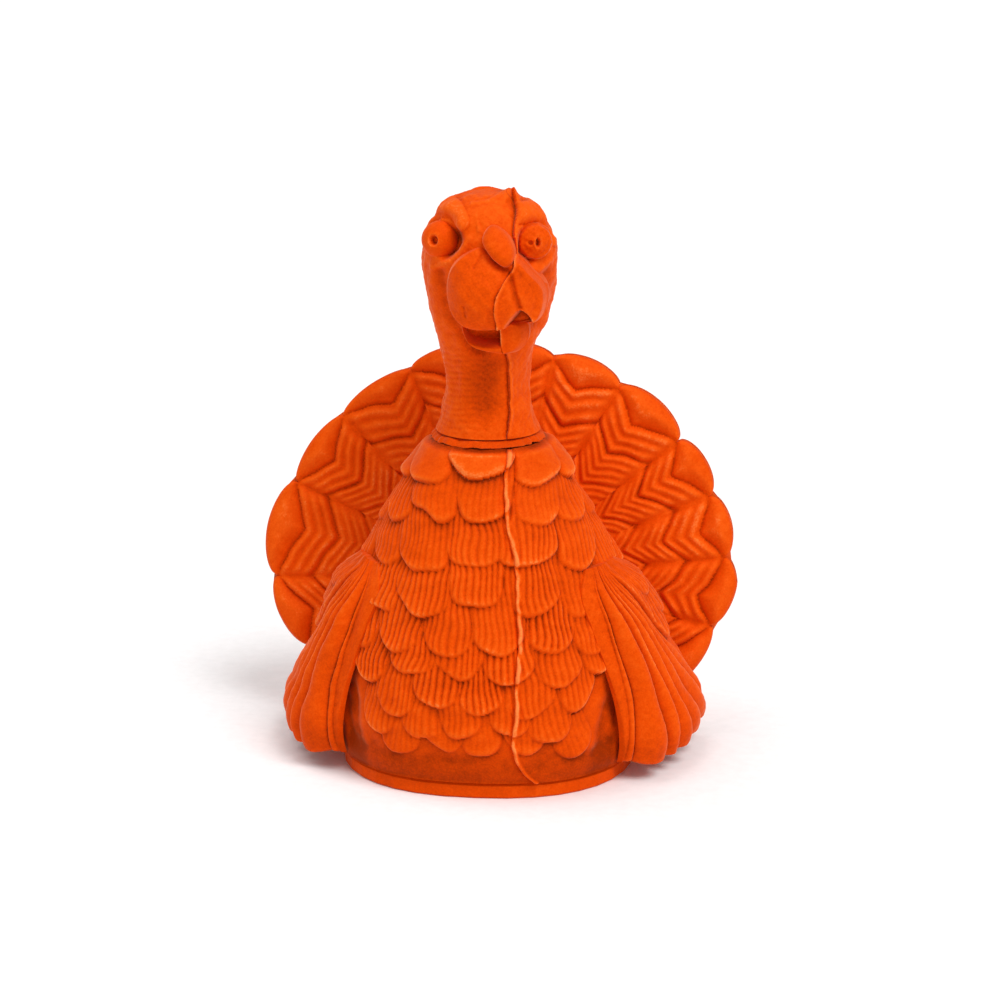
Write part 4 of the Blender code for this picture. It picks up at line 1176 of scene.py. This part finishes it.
def beak_surface(x, z, inside):
    """A heavy drooping beak, with the seam's ridge and the left half's loose flap."""
    seam = head_seam(z)
    spot = np.stack([x, z], -1)
    tip = interpolate(BEAK_PROFILE, 1, z)
    left_half = smooth(x - seam, -0.1, 0.1)
    root = 15.6 * (1 - left_half) + 12.6 * left_half
    reach = np.where(x < 1.4, (x - 1.4) / 8.4, (x - 1.4) / 12.2)
    bow = np.sqrt(np.clip(1 - reach**2, 0.0, 1))
    forward = root + (tip - root) * bow
    crest = np.where(x > seam, hump(x - seam - 0.25, 0.4), 0)
    relief = 0.55 * crest - 0.25 * np.where(x < seam, hump(x - seam, 0.6), 0)
    relief -= 1.0 * hump(path_distance(x, z, BEAK_CRACK), 0.6)
    relief += 0.7 * smooth(depth_inside(x, z, BEAK_OUTLINE), 2.2, 0.6) * left_half
    relief -= 1.6 * hump(path_distance(x, z, SNOOD_GROOVE), 0.8) * (1 - left_half)
    for nick, depth, width in BEAK_NICKS:
        relief -= depth * hump(path_distance(x, z, nick), width)
    relief += 0.08 * waves(spot, 3.0, 91) + 0.03 * waves(spot, 1.0, 92)
    hole = smooth(depth_inside(x, z, BEAK_HOLE), -0.3, 0.9)
    edge = smooth(inside, 0.0, 0.07)
    y = -13.0 - (forward - 13.0 + relief) * (0.55 + 0.45 * edge) + 6.0 * hole
    # Painted shade: the hole, the rim, a patch low in the middle of the right half and the lower edge are
    # darkened in the relief that sets the tone.
    hollow = np.hypot(x - 1.9, (z - 94.0) / 2.2)
    shade = 0.45 * hump(hollow, 1.7) * (1 - left_half) + 0.25 * smooth(z, 96.5, 92.0)
    return y, relief + 0.3 * edge - 2.5 * hole - shade


LIP_OUTLINE = [
    (-4.2, 91.4), (-3.8, 89.6), (-2.9, 87.9), (-1.4, 86.6), (1.0, 85.9), (4.0, 85.4), (6.6, 85.4),
    (8.6, 87.0), (9.2, 89.6), (8.6, 92.0), (4.0, 92.4), (0.0, 92.2),
]
LIP_EDGE = [(-4.0, 91.2), (-3.3, 89.0), (-1.7, 87.6), (0.6, 87.0), (3.2, 86.9), (4.6, 86.9)]
MOUTH_TOP = [(4.6, 92.6), (-4.4, 92.6)]
LIP_CENTRE = (0.8, 89.0)
LIP_ROOT_Y = -12.4


def lip_surface(x, z, inside):
    """The lower beak: a thin curled lip under a dark mouth, and a plain jaw beyond the seam."""
    path = rounded(LIP_EDGE)
    seam = head_seam(z)
    edge = smooth(inside, 0.0, 0.2)
    jaw = smooth(x - seam, -0.25, 0.25)
    mouth = smooth(depth_inside(x, z, path + MOUTH_TOP), 0.1, 1.3) * (1 - jaw)
    relief = 1.1 * hump(path_distance(x, z, path), 0.8) * (1 - jaw) - 3.4 * mouth
    relief += 0.5 * np.where(x > seam, hump(x - seam - 0.2, 0.4), 0)
    y = -15.4 - (3.6 - 1.4 * jaw * smooth(x, 5.0, 9.0)) * edge**0.6 - relief * edge
    # The mouth is painted darker, a painted shade in its hollow.
    return y, 0.5 * relief - 0.7 * mouth


SNOOD_OUTLINE = [
    (0.6, 109.0), (2.0, 110.6), (4.0, 109.8), (5.8, 108.0), (6.8, 105.8), (6.6, 103.6), (5.2, 102.6),
    (3.2, 103.8), (1.4, 105.8), (0.4, 107.4),
]
SNOOD_CENTRE = (3.6, 106.4)
SNOOD_ROOT_Y = -15.4


def snood_surface(x, z, inside):
    """A fleshy lobe lying across the beak's root."""
    edge = np.sqrt(np.clip(1 - (1 - inside) ** 2, 0, 1))
    relief = 0.08 * waves(np.stack([x, z], -1), 2.0, 95)
    along = smooth(z, 110.5, 103.5)
    y = -17.4 - 2.2 * along - 4.2 * edge**0.6 - relief
    # The lobe's rim is painted darker than its middle, a painted shade where it meets the beak.
    return y, relief + 0.3 * edge


def make_eye(name, side):
    """A ball with a rimmed pupil hole: round on the right, a slot and a pit on the left."""
    centre = np.array([SKULL_SHIFT_X + EYE_SPACING / 2 * side, EYE_Y, EYE_HEIGHT])
    look = np.array([0.32 if side > 0 else -0.26, -1.0, 0.08])
    look /= np.linalg.norm(look)
    across = np.cross(look, [0, 0, 1.0])
    across /= np.linalg.norm(across)
    up = np.cross(across, look)
    rows, columns = 100, 192
    polar = np.linspace(0.01, 0.62 * math.pi, rows)[:, None]
    around = np.linspace(0, 2 * math.pi, columns, endpoint=False)[None, :]
    p = np.sin(polar) * np.cos(around)
    q = np.sin(polar) * np.sin(around)
    u = p * EYE_RADIUS
    v = q * EYE_RADIUS
    if side < 0:
        from_hole = np.hypot(u - 0.1, (v - 0.1) * 0.85)
        relief = -1.5 * smooth(from_hole, 1.05, 0.7) + 0.04 * hump(from_hole - 1.3, 0.25)
    else:
        from_hole = np.hypot((u + 0.2) * 1.7, v * 0.9)
        relief = -1.3 * smooth(from_hole, 1.0, 0.6) + 0.12 * hump(from_hole - 1.3, 0.3)
        relief -= 0.5 * smooth(np.hypot(u - 1.3, v), 0.6, 0.3)
        relief += 0.06 * waves(np.stack([u, v], -1), 1.2, 97) + 0.25 * hump(np.hypot(u, v) - 2.8, 0.3)
    ahead = np.cos(polar) * np.ones_like(p)
    direction = p[..., None] * across + q[..., None] * up + ahead[..., None] * look
    front = centre + (EYE_RADIUS + relief)[..., None] * direction
    step = 4
    edge = np.sin(polar[-1, 0]) * EYE_RADIUS
    back_depth = math.cos(polar[-1, 0]) * EYE_RADIUS
    turn = around[0, ::step]
    rings = []
    for share in (0.2, 0.6, 1.0):
        ring = centre + look * back_depth + share * edge * (
            np.cos(turn)[:, None] * across + np.sin(turn)[:, None] * up
        )
        rings.append(ring)
    # The tone is painted shade in the pupil hole and painted highlight on the rims.
    return disc_piece(name, front, np.array(rings), painted_shade_and_highlight(relief, True), "head", name)


# ---------------------------------------------------------------- studio

def aim(obj, target):
    obj.rotation_euler = (Vector(target) - obj.location).to_track_quat("-Z", "Y").to_euler()


def add_sun(name, location, strength, spread):
    """An even soft light from a direction, spread over that many degrees of the sky."""
    light = bpy.data.lights.new(name, "SUN")
    light.energy = strength
    light.angle = math.radians(spread)
    lamp = bpy.data.objects.new(name, light)
    lamp.location = location
    bpy.context.scene.collection.objects.link(lamp)
    aim(lamp, (0.0, 0.0, 0.0))


# The camera: degrees to the bird's left and above level, and metres for the rest.
CAMERA_TURN = 6.0
CAMERA_RISE = 15.0
CAMERA_DISTANCE = 0.55
CAMERA_TARGET = (0.0018, 0.0, 0.052)
CAMERA_LENS = 99.0
CAMERA_SENSOR = 36.0
FLOOR_SIZE = 60.0
SKY_STRENGTH = 0.5
# Each light: the direction it comes from, its strength, and how many degrees of the sky it fills.
SUNS = {
    "key": ((0.26, -0.26, 0.50), 1.8, 30.0),
    "top": ((-0.20, 0.00, 0.60), 0.8, 40.0),
}


def make_studio():
    """A pale floor, soft light from above, and the camera at the figure's front left."""
    scene = bpy.context.scene
    scene.view_settings.view_transform = "Standard"
    world = bpy.data.worlds.new("studio")
    scene.world = world
    world.use_nodes = True
    background = world.node_tree.nodes["Background"]
    background.inputs["Color"].default_value = (1.0, 1.0, 1.0, 1.0)
    background.inputs["Strength"].default_value = SKY_STRENGTH
    for name, (location, strength, spread) in SUNS.items():
        add_sun(name, location, strength, spread)
    bpy.ops.mesh.primitive_plane_add(size=FLOOR_SIZE, location=(0.0, 0.0, 0.0))
    floor = bpy.context.object
    floor.name = "floor"
    material, nodes, links, shader = new_material("floor_paper", 0.9, 0.0)
    place = nodes.new("ShaderNodeTexCoord").outputs["Object"]
    noise = noise_node(nodes, 400.0)
    links.new(place, noise.inputs["Vector"])
    ramp = ramp_node(nodes, [(0.3, (0.92, 0.92, 0.92, 1)), (0.7, (0.97, 0.97, 0.97, 1))])
    links.new(noise.outputs["Fac"], ramp.inputs["Fac"])
    links.new(ramp.outputs["Color"], shader.inputs["Base Color"])
    floor.data.materials.append(material)
    camera_data = bpy.data.cameras.new("camera")
    camera = bpy.data.objects.new("camera", camera_data)
    scene.collection.objects.link(camera)
    scene.camera = camera
    turn = math.radians(CAMERA_TURN)
    rise = math.radians(CAMERA_RISE)
    target = Vector(CAMERA_TARGET)
    back = Vector((math.sin(turn) * math.cos(rise), -math.cos(turn) * math.cos(rise), math.sin(rise)))
    camera.location = target + CAMERA_DISTANCE * back
    aim(camera, target)
    camera_data.lens = CAMERA_LENS
    camera_data.sensor_width = CAMERA_SENSOR


# ---------------------------------------------------------------- the bird

RUBBER = make_rubber()
NYLON = make_plain("nylon", (196, 190, 176), (222, 217, 205), 0.5, 0.0, 900.0, 0.05 * MM)
STEEL = make_plain("steel", (150, 151, 154), (190, 191, 194), 0.35, 1.0, 1500.0, 0.03 * MM)
LEAD = make_plain("ballast", (88, 90, 94), (120, 122, 126), 0.6, 0.8, 700.0, 0.08 * MM)

make_body_half("body_shell_right", -1, 306)
make_body_half("body_shell_left", 1, 246)
make_rump()
make_fan_skin("fan_front", 0.0, FAN_SKIN, 1, 301)
make_fan_skin("fan_back", FAN_DEPTH, FAN_DEPTH - FAN_SKIN, -1, 302)
make_wing("wing_right", -1)
make_wing("wing_left", 1)
make_collar()
make_head_halves()
face_piece("upper_beak", BEAK_OUTLINE, BEAK_CENTRE, beak_surface, BEAK_ROOT_Y)
face_piece("lower_beak", LIP_OUTLINE, LIP_CENTRE, lip_surface, LIP_ROOT_Y)
face_piece("snood", SNOOD_OUTLINE, SNOOD_CENTRE, snood_surface, SNOOD_ROOT_Y)
make_eye("eye_right", -1)
make_eye("eye_left", 1)

SLOT_FINISH = {"orange_rubber": RUBBER, "nylon": NYLON, "steel": STEEL, "ballast": LEAD}
for subpart in frame["record"]["subparts"]:
    node_mesh = frame["nodes"][subpart["node"]].data
    node_mesh.materials.clear()
    node_mesh.materials.append(SLOT_FINISH[subpart["material_slot"]])

make_studio()
